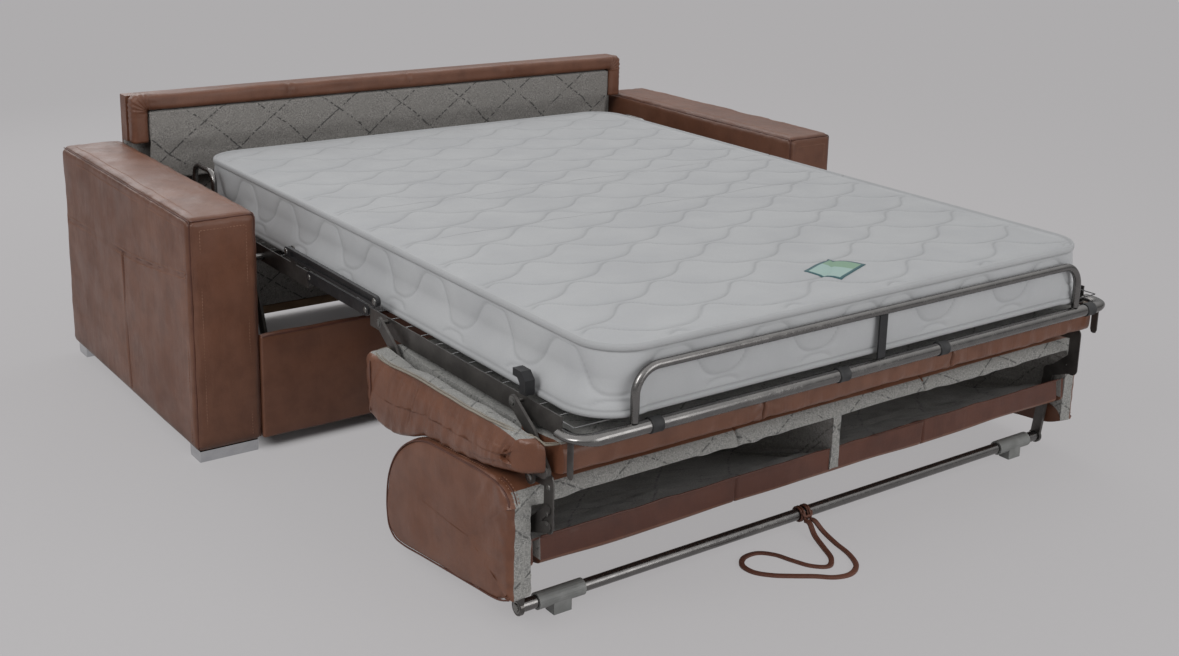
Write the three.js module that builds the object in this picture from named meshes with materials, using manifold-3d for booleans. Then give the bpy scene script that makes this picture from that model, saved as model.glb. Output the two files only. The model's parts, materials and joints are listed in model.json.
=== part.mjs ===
// Sleeper sofa with a pull-out bed, shown with the bed open.
// Millimetres, +Z up, +X to the right, +Y to the back. Pieces are drawn in the frame of the sofa
// body: X from the middle, Y from the front of the arms, Z from the floor. The whole group is then
// moved so that the origin lies on the floor under the middle of the opened sofa.
// Side pieces are made on the right and mirrored to the left.
import * as THREE from 'three';
import { mergeVertices } from 'three/addons/utils/BufferGeometryUtils.js';
import Module from 'manifold-3d';

const wasm = await Module();
wasm.setup();

// Clearances, and how far a cutting shape runs past the faces that it cuts
const gap = 0.3;
const weldTolerance = 0.001;
const pinClearance = 0.4;
const laneGap = 1;
const overrun = 2;

// Arms and their skid feet
const armStandoff = 61;
const armWidth = 171;
const armTop = 610;
const armEdge = 20;
const armCrown = 5;
const backrestDepth = 98;
const footHeight = 29;
const skidInset = 12;
const skidLength = 66;
const skidTaper = 3.5;
const skidRim = 9;

// Front rail and rear rail
const frontRailSetback = 2;
const frontRailThickness = 24;
const frontRailDrop = 155;
const frontRailEdge = 4;
const rearRailThickness = 24;
const rearRailBottom = 20;
const rearRailTop = 45;

// Backrest
const headClear = 119;
const beamHeight = 137;
const beamBottom = 608;
const beamDrop = 8;
const rollSize = 50;
const rollEdge = 16;
const panelRecess = 8;
const hollowDepth = 66;
const coverThickness = 6;

// Mattress
const mattressHalfWidth = 700;
const mattressHead = 735;
const mattressFoot = -1178;
const mattressBottom = 451;
const mattressThickness = 140;
const mattressCorner = 100;
const mattressCrown = 4;
const quiltDepth = 3;
const quiltPitch = 150;
const quiltSwing = 34;
const quiltSwingLength = 420;
const quiltStepX = 200;
const quiltStepY = 50;
const tapeHeight = 10;
const tapeLip = 1;
const tapeRound = 4;
const tapeInset = 7;
const pipingHeight = 9;
const drawIn = 5;

// Bed frame: three sections that fold at two hinge lines
const headHinge = -84;
const middleLength = 286;
const sectionInset = 16;
const headRailSetback = 32;
const railClear = 60;
const sheet = 3;
const railLip = 9;
const railDrop = 32;
const flangeWidth = 22;
const knuckleRadius = 14;
const pinRadius = 5;
const middlePlate = 3.5;
const middleWebWidth = 6;
const middleWebDrop = 6;
const netWire = 8;
const netThickness = 3;
const netColumns = 6;
const netRows = 3;

// Hoops beside the pillow end of the mattress
const hoopRadius = 8;
const hoopLength = 136;
const hoopHeight = 120;
const hoopRise = 1;
const hoopBend = 32;

// Foot tube, guard rail and corner pieces
const footTubeRadius = 14;
const footTubeReach = 12;
const footTubeDrop = 20;
const footTubeReturn = 62;
const footTubeBend = 44;
const guardRadius = 9;
const guardHeight = 117;
const guardInset = 59;
const guardBend = 52;
const strutWidth = 22;
const strutThickness = 4;
const hookSetback = 213;
const hookLength = 43;
const hookRise = 44;
const hookWidth = 22;
const hookFinger = 15;
const hookPost = 20;
const hookNeck = 24;
const bracketOffset = 18;
const bracketWidth = 18;
const bracketDrop = 66;
const bracketThickness = 6;

// Lift arms, which carry the head section
const liftSetback = 274;
const liftDrop = 17;
const liftReachBack = 104.41;
const liftReachDown = 266.26;
const liftSpread = 330;
const liftHalfWidth = 16;
const liftTubeRadius = 8.5;
const liftStandoff = 2;
const liftThickness = 7;
const mountThickness = 4;
const mountMargin = 34;
const mountShoulder = 102;
const mountRise = 176;
const bossRadius = 13;

// Stay levers, which brace the opened frame
const staySetback = 99;
const stayRise = 41;
const stayLength = 452;
const stayDip = 2;
const stayHalfWidth = 12;
const stayStandoff = 6;
const stayThickness = 10;
const stayGroove = 6;
const stayGrooveHeight = 12;

// Links that carry the seat cushion on the foot section
const seatPivotPitch = 530;
const seatPivotSetback = 100;
const seatPivotRise = 1;
const seatLinkReach = 111;
const seatLinkDrop = 97.9;
const seatLinkStandoff = 4;
const seatLinkThickness = 6;
const seatLinkHalfWidth = 13;
const seatLinkBulge = 8;
const seatBarThickness = 5;
const seatBarHalfHeight = 14;

// Seat cushion
const cushionClear = 12;
const seatClear = 7;
const seatOverhang = 32;
const seatInset = 42;
const seatChannel = 10;
const seatChannelDepth = 9;
const seatSideRound = 24;
const slotClear = 11;
const slotSetback = 12;

// Back cushion, hollow and open to the front
const backPivotSetback = 70;
const backPivotDrop = 84;
const backSetback = 94;
const mouthClear = 14;
const backBottom = 28;
const stackDrop = 109;
const backWall = 32;
const backSideWall = 50;
const dividerThickness = 24;
const backChannel = 10;
const backChannelDepth = 6;
const backSideRound = 30;
const legNotchDepth = 40;
const legNotchTop = 160;

// Leg plates, legs, floor bar and pads
const legStandoff = 10;
const legPlateSetback = 40;
const legPlateRise = 3;
const legPlateLength = 91;
const legPlateHalfWidth = 15;
const kneeSetback = 28;
const kneeDrop = 114;
const kneeRadius = 15;
const shinHalfWidth = 13;
const shinThickness = 7.7;
const linkHalfWidth = 11;
const bowHalfWidth = 9;
const bowDrop = 53;
const barSetback = 50;
const barZ = 34;
const barRadius = 13;
const hubRadius = 17;
const padInset = 88;
const padSleeveLength = 110;
const padSleeveWall = 4;
const padWidth = 42;
const padLength = 30;

// Pull strap
const knotCentre = -30;
const knotWidth = 34;
const knotWall = 9;
const strapDiameter = 12;

// Values that follow from the driving dimensions: first heights and lengths
const hingeHeight = mattressBottom;
const footHinge = headHinge - middleLength;
const railTop = mattressBottom + railLip;
const railBottom = mattressBottom - railDrop;
const frontRailTop = mattressBottom - frontRailDrop;
const backFace = mattressHead + headClear;
const sofaDepth = backFace + backrestDepth;
const liningFace = backFace + hollowDepth;
const coverFace = sofaDepth - coverThickness;
const backTop = beamBottom + beamHeight;
const hoopFoot = mattressBottom + hoopRise;
const hoopTop = hoopFoot + hoopHeight;
const footTubeLine = mattressFoot - footTubeReach;
const footTubeHeight = mattressBottom - footTubeDrop;
const guardTop = footTubeHeight + guardHeight;
const hookBack = mattressFoot + hookSetback;
const stayPivot = [headHinge + staySetback, mattressBottom + stayRise];
const liftTop = [headHinge + liftSetback, mattressBottom - liftDrop];
const liftBase = [liftTop[0] - liftReachBack, liftTop[1] - liftReachDown];
const mountCrest = liftBase[1] + mountRise;
const seatPivotRear = [footHinge - seatPivotSetback, mattressBottom + seatPivotRise];
const seatPivotFront = [seatPivotRear[0] - seatPivotPitch, seatPivotRear[1]];
const seatPivots = { front: seatPivotFront, rear: seatPivotRear };
const seatCarriers = {
  front: [seatPivotFront[0] - seatLinkReach, seatPivotFront[1] - seatLinkDrop],
  rear: [seatPivotRear[0] - seatLinkReach, seatPivotRear[1] - seatLinkDrop],
};
const seatTop = railBottom - seatClear;
const seatBackEnd = seatPivotRear[0] - seatOverhang;
const seatDepth = seatBackEnd - footTubeLine - seatInset;
const slotThroughTo = seatPivotFront[0] - slotSetback;
const backPivot = [seatPivotFront[0] - backPivotSetback, seatTop - backPivotDrop];
const backEnd = seatBackEnd - backSetback;
const backHeight = seatTop - stackDrop - backBottom;
const legPlateY = backPivot[0] - legPlateSetback;
const backDepth = backEnd - legPlateY - legPlateHalfWidth - mouthClear;
const legPlateTop = backPivot[1] + legPlateRise;
const legPlateBottom = legPlateTop - legPlateLength;
const knee = [backPivot[0] + kneeSetback, backPivot[1] - kneeDrop];
const bowTop = backPivot[1] - bowDrop;
const legNotchTo = knee[0] + legNotchDepth;
const barLine = [backPivot[0] + barSetback, barZ];

// Then the lanes beside the mattress, from the inside out
const guardHalfWidth = mattressHalfWidth - guardInset;
const railOuter = mattressHalfWidth + railClear;
const webInner = railOuter - sheet;
const stayInner = railOuter + stayStandoff;
const legPlateInner = railOuter + legStandoff;
const legInner = legPlateInner + sheet + gap;
const shinOuter = legInner + shinThickness;
const padCentre = legPlateInner - padInset;
const seatLinkInner = legPlateInner + sheet + seatLinkStandoff;
const slotInner = seatLinkInner - slotClear;
const seatBarInner = seatLinkInner + seatLinkThickness + laneGap;
const seatBarOuter = seatBarInner + seatBarThickness;
const liftInner = seatBarOuter + liftStandoff;
const armInner = liftInner + armStandoff;
const armReach = armInner - gap;
const cushionHalfWidth = armInner - cushionClear;

const look = {
  leather: new THREE.MeshStandardMaterial({ color: 0x7b5140, roughness: 0.5 }),
  lining: new THREE.MeshStandardMaterial({ color: 0x6f6f6d, roughness: 0.95 }),
  mattress: new THREE.MeshStandardMaterial({ color: 0xd6d6d4, roughness: 0.9 }),
  steel: new THREE.MeshStandardMaterial({ color: 0x3b3b3d, roughness: 0.45, metalness: 0.8 }),
  tube: new THREE.MeshStandardMaterial({ color: 0x6d6e70, roughness: 0.35, metalness: 0.9 }),
  chrome: new THREE.MeshStandardMaterial({ color: 0xc9cacc, roughness: 0.12, metalness: 1 }),
  plastic: new THREE.MeshStandardMaterial({ color: 0x8a8a88, roughness: 0.6 }),
  rubber: new THREE.MeshStandardMaterial({ color: 0x2b2b2c, roughness: 0.7 }),
  wood: new THREE.MeshStandardMaterial({ color: 0x6d5a46, roughness: 0.8 }),
};

// Scene graph: the sofa body, and one group for each part that moves
const sofa = new THREE.Group();
const groupNames = ['body', 'liftFront', 'liftRear', 'head', 'middle', 'foot', 'stays', 'links', 'seat', 'back', 'strap'];
const groups = Object.fromEntries(groupNames.map((name) => [name, new THREE.Group()]));
sofa.add(...Object.values(groups));

function add(group, name, geometry, material, place = [0, 0, 0]) {
  const mesh = new THREE.Mesh(geometry, material);
  mesh.name = name;
  mesh.position.set(...place);
  group.add(mesh);
}

// Meshes and solids

function welded(geometry) {
  const bare = geometry.clone();
  bare.deleteAttribute('normal');
  bare.deleteAttribute('uv');
  return mergeVertices(bare, weldTolerance);
}

function toSolid(geometry) {
  const merged = welded(geometry);
  const triVerts = new Uint32Array(merged.index.array);
  const vertProperties = merged.attributes.position.array;
  return new wasm.Manifold(new wasm.Mesh({ numProp: 3, vertProperties, triVerts }));
}

function toGeometry(solid) {
  const mesh = solid.getMesh();
  const geometry = new THREE.BufferGeometry();
  geometry.setAttribute('position', new THREE.BufferAttribute(mesh.vertProperties, 3));
  geometry.setIndex(new THREE.BufferAttribute(mesh.triVerts, 1));
  geometry.computeVertexNormals();
  return geometry;
}

function joined(...geometries) {
  return toGeometry(geometries.map(toSolid).reduce((sum, next) => sum.add(next)));
}

function cut(geometry, ...tools) {
  return toGeometry(tools.map(toSolid).reduce((rest, tool) => rest.subtract(tool), toSolid(geometry)));
}

function mirrored(geometry) {
  const copy = welded(geometry);
  copy.scale(-1, 1, 1);
  const index = copy.index.array;
  for (let i = 0; i < index.length; i += 3) {
    [index[i], index[i + 1]] = [index[i + 1], index[i]];
  }
  copy.computeVertexNormals();
  return copy;
}

// A piece made on the right side, and its mirror image on the left.
function addPair(group, name, geometry, material, place = [0, 0, 0]) {
  add(group, `${name}_right`, geometry, material, place);
  add(group, `${name}_left`, mirrored(geometry), material, [-place[0], place[1], place[2]]);
}

// A closed mesh with its faces turned outwards.
function meshFrom(points, triangles) {
  let volume = 0;
  for (let i = 0; i < triangles.length; i += 3) {
    const [a, b, c] = triangles.slice(i, i + 3).map((index) => points[index]);
    volume += a.dot(b.clone().cross(c));
  }
  const geometry = new THREE.BufferGeometry();
  const flat = points.flatMap((p) => [p.x, p.y, p.z]);
  geometry.setAttribute('position', new THREE.Float32BufferAttribute(flat, 3));
  geometry.setIndex(volume > 0 ? triangles : triangles.reverse());
  geometry.computeVertexNormals();
  return geometry;
}

// Simple shapes

function block(x, y, z) {
  const box = new THREE.BoxGeometry(x[1] - x[0], y[1] - y[0], z[1] - z[0]);
  return box.translate((x[0] + x[1]) / 2, (y[0] + y[1]) / 2, (z[0] + z[1]) / 2);
}

// A flat plate whose outline lies in the Y-Z plane, from x = inner to inner + thickness.
function sidePlate(outline, inner, thickness) {
  const shape = outline.curves ? outline : new THREE.Shape(outline.map(([y, z]) => new THREE.Vector2(y, z)));
  const plate = new THREE.ExtrudeGeometry(shape, { depth: thickness, bevelEnabled: false, curveSegments: 4 });
  const basis = new THREE.Matrix4().makeBasis(
    new THREE.Vector3(0, 1, 0), new THREE.Vector3(0, 0, 1), new THREE.Vector3(1, 0, 0));
  return plate.applyMatrix4(basis).translate(inner, 0, 0);
}

// A flat bar with round ends between two points of the Y-Z plane.
function barOutline(from, to, halfWidth) {
  const angle = Math.atan2(to[1] - from[1], to[0] - from[0]);
  const shape = new THREE.Shape();
  shape.absarc(from[0], from[1], halfWidth, angle + Math.PI / 2, angle + 1.5 * Math.PI, false);
  shape.absarc(to[0], to[1], halfWidth, angle - Math.PI / 2, angle + Math.PI / 2, false);
  return shape;
}

// A rod along X at a point of the Y-Z plane.
function crossRod(radius, from, to, [y, z], sides = 10) {
  const rod = new THREE.CylinderGeometry(radius, radius, to - from, sides);
  return rod.rotateZ(-Math.PI / 2).translate((from + to) / 2, y, z);
}

// A ring round an axis along X at a point of the Y-Z plane.
function ring(inner, outer, from, to, [y, z], sides = 20) {
  const profile = [[inner, from], [outer, from], [outer, to], [inner, to], [inner, from]];
  const lathe = new THREE.LatheGeometry(profile.map(([r, h]) => new THREE.Vector2(r, h)), sides);
  return lathe.rotateZ(-Math.PI / 2).translate(0, y, z);
}

// The points of a polyline whose corners are rounded.
function roundedPath(corners, radius, steps = 5) {
  const points = [corners[0].clone()];
  for (let i = 1; i < corners.length - 1; i += 1) {
    const before = corners[i - 1].clone().sub(corners[i]).normalize();
    const after = corners[i + 1].clone().sub(corners[i]).normalize();
    const half = before.angleTo(after) / 2;
    const start = corners[i].clone().addScaledVector(before, radius / Math.tan(half));
    const bisector = before.clone().add(after).normalize();
    const centre = corners[i].clone().addScaledVector(bisector, radius / Math.sin(half));
    const axis = new THREE.Vector3().crossVectors(after, before).normalize();
    const arm = start.clone().sub(centre);
    for (let k = 0; k <= steps; k += 1) {
      points.push(arm.clone().applyAxisAngle(axis, (Math.PI - 2 * half) * (k / steps)).add(centre));
    }
  }
  points.push(corners[corners.length - 1].clone());
  return points;
}

function circleSection(radius, sides) {
  return Array.from({ length: sides }, (_, k) => {
    const angle = (2 * Math.PI * k) / sides;
    return [radius * Math.cos(angle), radius * Math.sin(angle)];
  });
}

// Closed loops of equal length joined in order, with fanned ends.
function loft(loops) {
  const vertices = loops.flat();
  const triangles = [];
  const count = loops[0].length;
  for (let i = 0; i < loops.length - 1; i += 1) {
    for (let k = 0; k < count; k += 1) {
      const [a, b] = [i * count + k, i * count + ((k + 1) % count)];
      triangles.push(a, b, a + count, b, b + count, a + count);
    }
  }
  const last = (loops.length - 1) * count;
  for (const [loop, start, flip] of [[loops[0], 0, true], [loops[loops.length - 1], last, false]]) {
    const centre = loop.reduce((sum, p) => sum.add(p), new THREE.Vector3()).divideScalar(count);
    const middle = vertices.push(centre) - 1;
    for (let k = 0; k < count; k += 1) {
      const [a, b] = [start + k, start + ((k + 1) % count)];
      triangles.push(middle, flip ? b : a, flip ? a : b);
    }
  }
  return meshFrom(vertices, triangles);
}

// A closed section carried along a list of points. The section's first axis starts square to up.
function sweep(points, section, up) {
  let side = null;
  const loops = points.map((point, i) => {
    const [before, after] = [points[Math.max(i - 1, 0)], points[Math.min(i + 1, points.length - 1)]];
    const tangent = after.clone().sub(before).normalize();
    side = side ? side.clone() : new THREE.Vector3().crossVectors(tangent, up);
    side.addScaledVector(tangent, -side.dot(tangent)).normalize();
    const over = new THREE.Vector3().crossVectors(tangent, side);
    return section.map(([u, v]) => point.clone().addScaledVector(side, u).addScaledVector(over, v));
  });
  return loft(loops);
}

// A padded box with rounded edges, and a top that swells by the crown.
function softBox(low, high, radius, cuts, crown = 0) {
  const bend = Math.tan(Math.PI / 8);
  const lines = [0, 1, 2].map((axis) => {
    const [a, b] = [low[axis], high[axis]];
    const flat = b - a - 2 * radius;
    const inner = Array.from({ length: cuts[axis] + 1 }, (_, k) => a + radius + (flat * k) / cuts[axis]);
    return [a, a + radius * (1 - bend), ...inner, b - radius * (1 - bend), b];
  });
  const round = (p) => {
    const inner = p.map((value, axis) => Math.min(Math.max(value, low[axis] + radius), high[axis] - radius));
    const away = p.map((value, axis) => value - inner[axis]);
    const length = Math.hypot(...away);
    const fullness = p.map((value, axis) =>
      1 - Math.abs((2 * value - low[axis] - high[axis]) / (high[axis] - low[axis])) ** 4);
    const swell = p[2] > inner[2] ? crown * fullness[0] * fullness[1] : 0;
    return p.map((value, axis) => inner[axis] + (away[axis] / length) * (radius + (axis === 2 ? swell : 0)));
  };
  const vertices = [];
  const triangles = [];
  for (const axis of [0, 1, 2]) {
    const [u, v] = [(axis + 1) % 3, (axis + 2) % 3];
    for (const face of [low[axis], high[axis]]) {
      const start = vertices.length;
      const rows = lines[v].length;
      for (const a of lines[u]) {
        for (const b of lines[v]) {
          const p = [0, 0, 0];
          [p[axis], p[u], p[v]] = [face, a, b];
          vertices.push(new THREE.Vector3(...round(p)));
        }
      }
      for (let i = 0; i < lines[u].length - 1; i += 1) {
        for (let j = 0; j < rows - 1; j += 1) {
          const a = start + i * rows + j;
          const quad = [a, a + rows, a + rows + 1, a, a + rows + 1, a + 1];
          triangles.push(...(face === high[axis] ? quad : quad.reverse()));
        }
      }
    }
  }
  return meshFrom(vertices, triangles);
}

// The same outline drawn in by a wall, for an outline that runs clockwise or anticlockwise.
function drawnIn(outline, wall) {
  const count = outline.length;
  const area = outline.reduce((sum, [y, z], k) => {
    const [nextY, nextZ] = outline[(k + 1) % count];
    return sum + y * nextZ - nextY * z;
  }, 0);
  return outline.map(([y, z], k) => {
    const [beforeY, beforeZ] = outline[(k + count - 1) % count];
    const [afterY, afterZ] = outline[(k + 1) % count];
    const along = new THREE.Vector2(afterY - beforeY, afterZ - beforeZ).normalize();
    const inward = area > 0 ? [-along.y, along.x] : [along.y, -along.x];
    return [y + inward[0] * wall, z + inward[1] * wall];
  });
}

// Sofa body

function makeArms() {
  const outer = armInner + armWidth;
  const low = [armInner, 0, footHeight];
  const high = [outer, sofaDepth, armTop - armCrown];
  addPair(groups.body, 'arm', softBox(low, high, armEdge, [1, 3, 1], armCrown), look.leather);

  const top = footHeight - gap;
  const profile = [[0, top], [0, skidRim], [skidTaper, 0], [skidLength - skidTaper, 0], [skidLength, skidRim],
    [skidLength, top]];
  const foot = sidePlate(profile, 0, armWidth - 2 * skidInset);
  const places = { front: skidInset, rear: sofaDepth - skidInset - skidLength };
  for (const [place, y] of Object.entries(places)) {
    addPair(groups.body, `skid_foot_${place}`, foot, look.chrome, [armInner + skidInset, y, 0]);
  }
}

function makeRails() {
  const low = [-armReach, frontRailSetback, footHeight];
  const high = [armReach, frontRailSetback + frontRailThickness, frontRailTop];
  add(groups.body, 'front_rail', softBox(low, high, frontRailEdge, [1, 1, 1]), look.leather);
  const rearY = [coverFace - gap - rearRailThickness, coverFace - gap];
  const rear = block([-armReach, armReach], rearY, [rearRailBottom, rearRailTop]);
  add(groups.body, 'rear_rail', rear, look.wood);
}

function makeBackrest() {
  const rollBack = backFace + rollSize;
  const rollLow = backTop - rollSize;
  const coverTop = backTop - beamDrop;
  const across = [-armReach, armReach];
  const beam = block(across, [rollBack + gap, coverFace - gap], [beamBottom, coverTop]);
  add(groups.body, 'back_beam', beam, look.wood);

  const top = softBox([-armReach, backFace, rollLow], [armReach, rollBack, backTop], rollEdge, [1, 1, 1]);
  const sides = [-armReach, armReach - rollSize].map((x) =>
    softBox([x, backFace, beamBottom], [x + rollSize, rollBack, backTop - rollEdge], rollEdge, [1, 1, 1]));
  add(groups.body, 'back_roll', joined(top, ...sides), look.leather);

  const panelReach = armReach - rollSize - gap;
  const panelY = [backFace + panelRecess, rollBack];
  const panel = block([-panelReach, panelReach], panelY, [beamBottom, rollLow - gap]);
  add(groups.body, 'back_panel', panel, look.lining);
  const lower = block(across, [liningFace, coverFace - gap], [rearRailTop + gap, beamBottom - gap]);
  add(groups.body, 'back_lower_panel', lower, look.lining);
  const cover = block(across, [coverFace, sofaDepth], [footHeight, coverTop]);
  add(groups.body, 'back_cover', cover, look.leather);
}

function makeMountPlates() {
  const inner = armReach - mountThickness;
  const rear = [liftBase[0] + liftSpread, liftBase[1]];
  const [low, high] = [liftBase[1] - mountMargin, liftBase[1] + mountMargin];
  const front = liftBase[0] - mountMargin;
  const back = rear[0] + mountMargin;
  const outline = [[front, low], [back, low], [back, high], [liftBase[0] + mountShoulder, high + mountMargin],
    [liftBase[0] + mountMargin, mountCrest], [front, mountCrest]];
  const pivots = [liftBase, rear].flatMap((place) => [
    crossRod(bossRadius, liftInner + liftThickness + gap, inner + overrun, place),
    crossRod(pinRadius, liftInner, inner, place),
  ]);
  const plate = sidePlate(outline, inner, mountThickness);
  addPair(groups.body, 'mount_plate', joined(plate, ...pivots), look.steel);
}

// Lift arms: a pair in front and a pair behind, each joined across by its own tube

function makeLiftArms() {
  const outer = liftInner + liftThickness;
  const hole = crossRod(pinRadius + pinClearance, liftInner - overrun, outer + overrun, liftBase);
  const arm = cut(sidePlate(barOutline(liftBase, liftTop, liftHalfWidth), liftInner, liftThickness), hole);
  const reach = liftInner - gap;
  const tube = crossRod(liftTubeRadius, -reach, reach, liftTop, 12);
  const places = { front: [groups.liftFront, 0], rear: [groups.liftRear, liftSpread] };
  for (const [place, [group, y]] of Object.entries(places)) {
    addPair(group, `lift_arm_${place}`, arm, look.steel, [0, y, 0]);
    add(group, `lift_tube_${place}`, tube, look.tube, [0, y, 0]);
  }
}

// Mattress: three lengths of one mattress, with quilted waves on top

// Places of the grid lines along one direction, closer together in the rounded corners.
function gridLines(from, to, roundFrom, roundTo, step) {
  const cornerShares = [0, 0.12, 0.3, 0.6, 1];
  const start = roundFrom ? cornerShares.map((share) => from + share * mattressCorner) : [from];
  const end = roundTo ? cornerShares.map((share) => to - share * mattressCorner).reverse() : [to];
  const [a, b] = [start[start.length - 1], end[0]];
  const count = Math.max(Math.round((b - a) / step), 1);
  const middle = Array.from({ length: count - 1 }, (_, k) => a + ((b - a) * (k + 1)) / count);
  return [...start, ...middle, ...end];
}

function makeMattressSection(group, name, from, to, roundFrom, roundTo) {
  const edgeTop = mattressThickness - mattressCrown;
  // Heights above the bottom, and how far the side is drawn in there.
  const sideProfile = [[edgeTop - tapeRound, tapeLip], [edgeTop - tapeHeight, 0],
    [edgeTop - tapeHeight - drawIn, drawIn], [edgeTop / 2, 0], [pipingHeight + drawIn, drawIn],
    [pipingHeight, 0], [0, drawIn]];
  const xs = gridLines(-mattressHalfWidth, mattressHalfWidth, true, true, quiltStepX);
  const ys = gridLines(from, to, roundFrom, roundTo, quiltStepY);

  // How far a grid point lies into a rounded corner, along X and along Y.
  const cornerOf = (x, y) => {
    const dx = Math.max(Math.abs(x) - (mattressHalfWidth - mattressCorner), 0) * Math.sign(x);
    const back = roundTo ? Math.max(y - (to - mattressCorner), 0) : 0;
    const front = roundFrom ? Math.max(from + mattressCorner - y, 0) : 0;
    return [dx, back - front];
  };
  const plan = (x, y) => {
    const [dx, dy] = cornerOf(x, y);
    const pull = dx && dy ? Math.max(Math.abs(dx), Math.abs(dy)) / Math.hypot(dx, dy) : 1;
    return [x - dx + dx * pull, y - dy + dy * pull];
  };
  const height = (x, y) => {
    const shift = quiltSwing * Math.sin((2 * Math.PI * x) / quiltSwingLength);
    const seam = 0.5 - 0.5 * Math.cos((2 * Math.PI * (y + shift)) / quiltPitch);
    const fullness = 1 - (Math.abs(x) / mattressHalfWidth) ** 6;
    return mattressBottom + edgeTop + fullness * (mattressCrown - quiltDepth * seam);
  };

  const vertices = [];
  const triangles = [];
  const at = (i, j) => i * ys.length + j;
  const [lastI, lastJ] = [xs.length - 1, ys.length - 1];
  xs.forEach((x, i) => ys.forEach((y, j) => {
    const [px, py] = plan(x, y);
    const edge = i === 0 || i === lastI || (j === 0 && roundFrom) || (j === lastJ && roundTo);
    vertices.push(new THREE.Vector3(px, py, edge ? mattressBottom + edgeTop : height(px, py)));
  }));
  for (let i = 0; i < lastI; i += 1) {
    for (let j = 0; j < lastJ; j += 1) {
      triangles.push(at(i, j), at(i + 1, j), at(i + 1, j + 1), at(i, j), at(i + 1, j + 1), at(i, j + 1));
    }
  }
  const rim = [];
  for (let i = 0; i < lastI; i += 1) rim.push([i, 0]);
  for (let j = 0; j < lastJ; j += 1) rim.push([lastI, j]);
  for (let i = lastI; i > 0; i -= 1) rim.push([i, lastJ]);
  for (let j = lastJ; j > 0; j -= 1) rim.push([0, j]);

  // Outward direction in plan at each rim point; a cut end stays flat.
  const outward = rim.map(([i, j]) => {
    const [dx, dy] = cornerOf(xs[i], ys[j]);
    if (dx && dy) return new THREE.Vector2(dx, dy).normalize();
    if (i === 0 || i === lastI) return new THREE.Vector2(Math.sign(xs[i]), 0);
    return new THREE.Vector2(0, j === 0 ? -Number(roundFrom) : Number(roundTo));
  });
  const tops = rim.map(([i, j]) => vertices[at(i, j)].clone());
  let above = rim.map(([i, j]) => at(i, j));
  for (const [z, inset] of sideProfile) {
    const level = tops.map((top, k) => vertices.push(new THREE.Vector3(
      top.x - outward[k].x * inset, top.y - outward[k].y * inset, mattressBottom + z)) - 1);
    for (let k = 0; k < rim.length; k += 1) {
      const next = (k + 1) % rim.length;
      triangles.push(above[k], level[k], level[next], above[k], level[next], above[next]);
    }
    above = level;
  }
  rim.forEach(([i, j], k) => {
    vertices[at(i, j)].x -= outward[k].x * tapeInset;
    vertices[at(i, j)].y -= outward[k].y * tapeInset;
  });
  const centre = vertices.push(new THREE.Vector3(0, (from + to) / 2, mattressBottom)) - 1;
  for (let k = 0; k < rim.length; k += 1) {
    triangles.push(centre, above[(k + 1) % rim.length], above[k]);
  }
  add(group, name, meshFrom(vertices, triangles), look.mattress);
}

function makeMattress() {
  const half = gap / 2;
  makeMattressSection(groups.head, 'mattress_head', headHinge + half, mattressHead, false, true);
  makeMattressSection(groups.middle, 'mattress_middle', footHinge + half, headHinge - half, false, false);
  makeMattressSection(groups.foot, 'mattress_foot', mattressFoot, footHinge - half, true, false);
}

// Bed frame

// A welded net between the side rails: a flat lattice of crossing bars.
function makeNet(group, name, half, from, to, columns, rows) {
  const linesOf = (start, end, count) => {
    const pitch = (end - start - netWire) / count;
    return Array.from({ length: count + 1 }, (_, k) => [start + k * pitch, start + k * pitch + netWire]).flat();
  };
  const xs = linesOf(-half, half, columns);
  const ys = linesOf(from, to, rows);
  const layer = (z) => xs.flatMap((x) => ys.map((y) => new THREE.Vector3(x, y, z)));
  const points = [...layer(0), ...layer(netThickness)];
  const at = (i, j, top) => (top * xs.length + i) * ys.length + j;
  const isWire = (i, j) =>
    i >= 0 && j >= 0 && i < xs.length - 1 && j < ys.length - 1 && (i % 2 === 0 || j % 2 === 0);
  const triangles = [];
  const quad = (a, b, c, d) => triangles.push(a, b, c, a, c, d);
  for (let i = 0; i < xs.length - 1; i += 1) {
    for (let j = 0; j < ys.length - 1; j += 1) {
      if (!isWire(i, j)) continue;
      const [a, b, c, d] = [[i, j], [i + 1, j], [i + 1, j + 1], [i, j + 1]];
      quad(at(...a, 1), at(...b, 1), at(...c, 1), at(...d, 1));
      quad(at(...a, 0), at(...d, 0), at(...c, 0), at(...b, 0));
      const edges = [[a, b, i, j - 1], [b, c, i + 1, j], [c, d, i, j + 1], [d, a, i - 1, j]];
      for (const [start, end, besideI, besideJ] of edges) {
        if (!isWire(besideI, besideJ)) quad(at(...start, 0), at(...end, 0), at(...end, 1), at(...start, 1));
      }
    }
  }
  add(group, name, meshFrom(points, triangles), look.steel, [0, 0, mattressBottom - gap - netThickness]);
}

// A side rail of folded sheet: an upright web, a flange at its foot and a round knuckle on the hinge.
function railWith(from, to, hinge) {
  const web = block([webInner, railOuter], [from, to], [railBottom, railTop]);
  const flange = block([webInner - flangeWidth, railOuter], [from, to], [railBottom, railBottom + sheet]);
  const near = Math.abs(from - hinge) < Math.abs(to - hinge) ? from : to;
  const tongueY = [Math.min(hinge, near) - overrun, Math.max(hinge, near) + overrun];
  const tongue = block([webInner, railOuter], tongueY, [hingeHeight - knuckleRadius / 2, railTop]);
  return joined(web, flange, tongue, crossRod(knuckleRadius, webInner, railOuter, [hinge, hingeHeight], 20));
}

function railHole(radius, place, sides = 10) {
  return crossRod(radius, webInner - flangeWidth - overrun, railOuter + overrun, place, sides);
}

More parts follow.
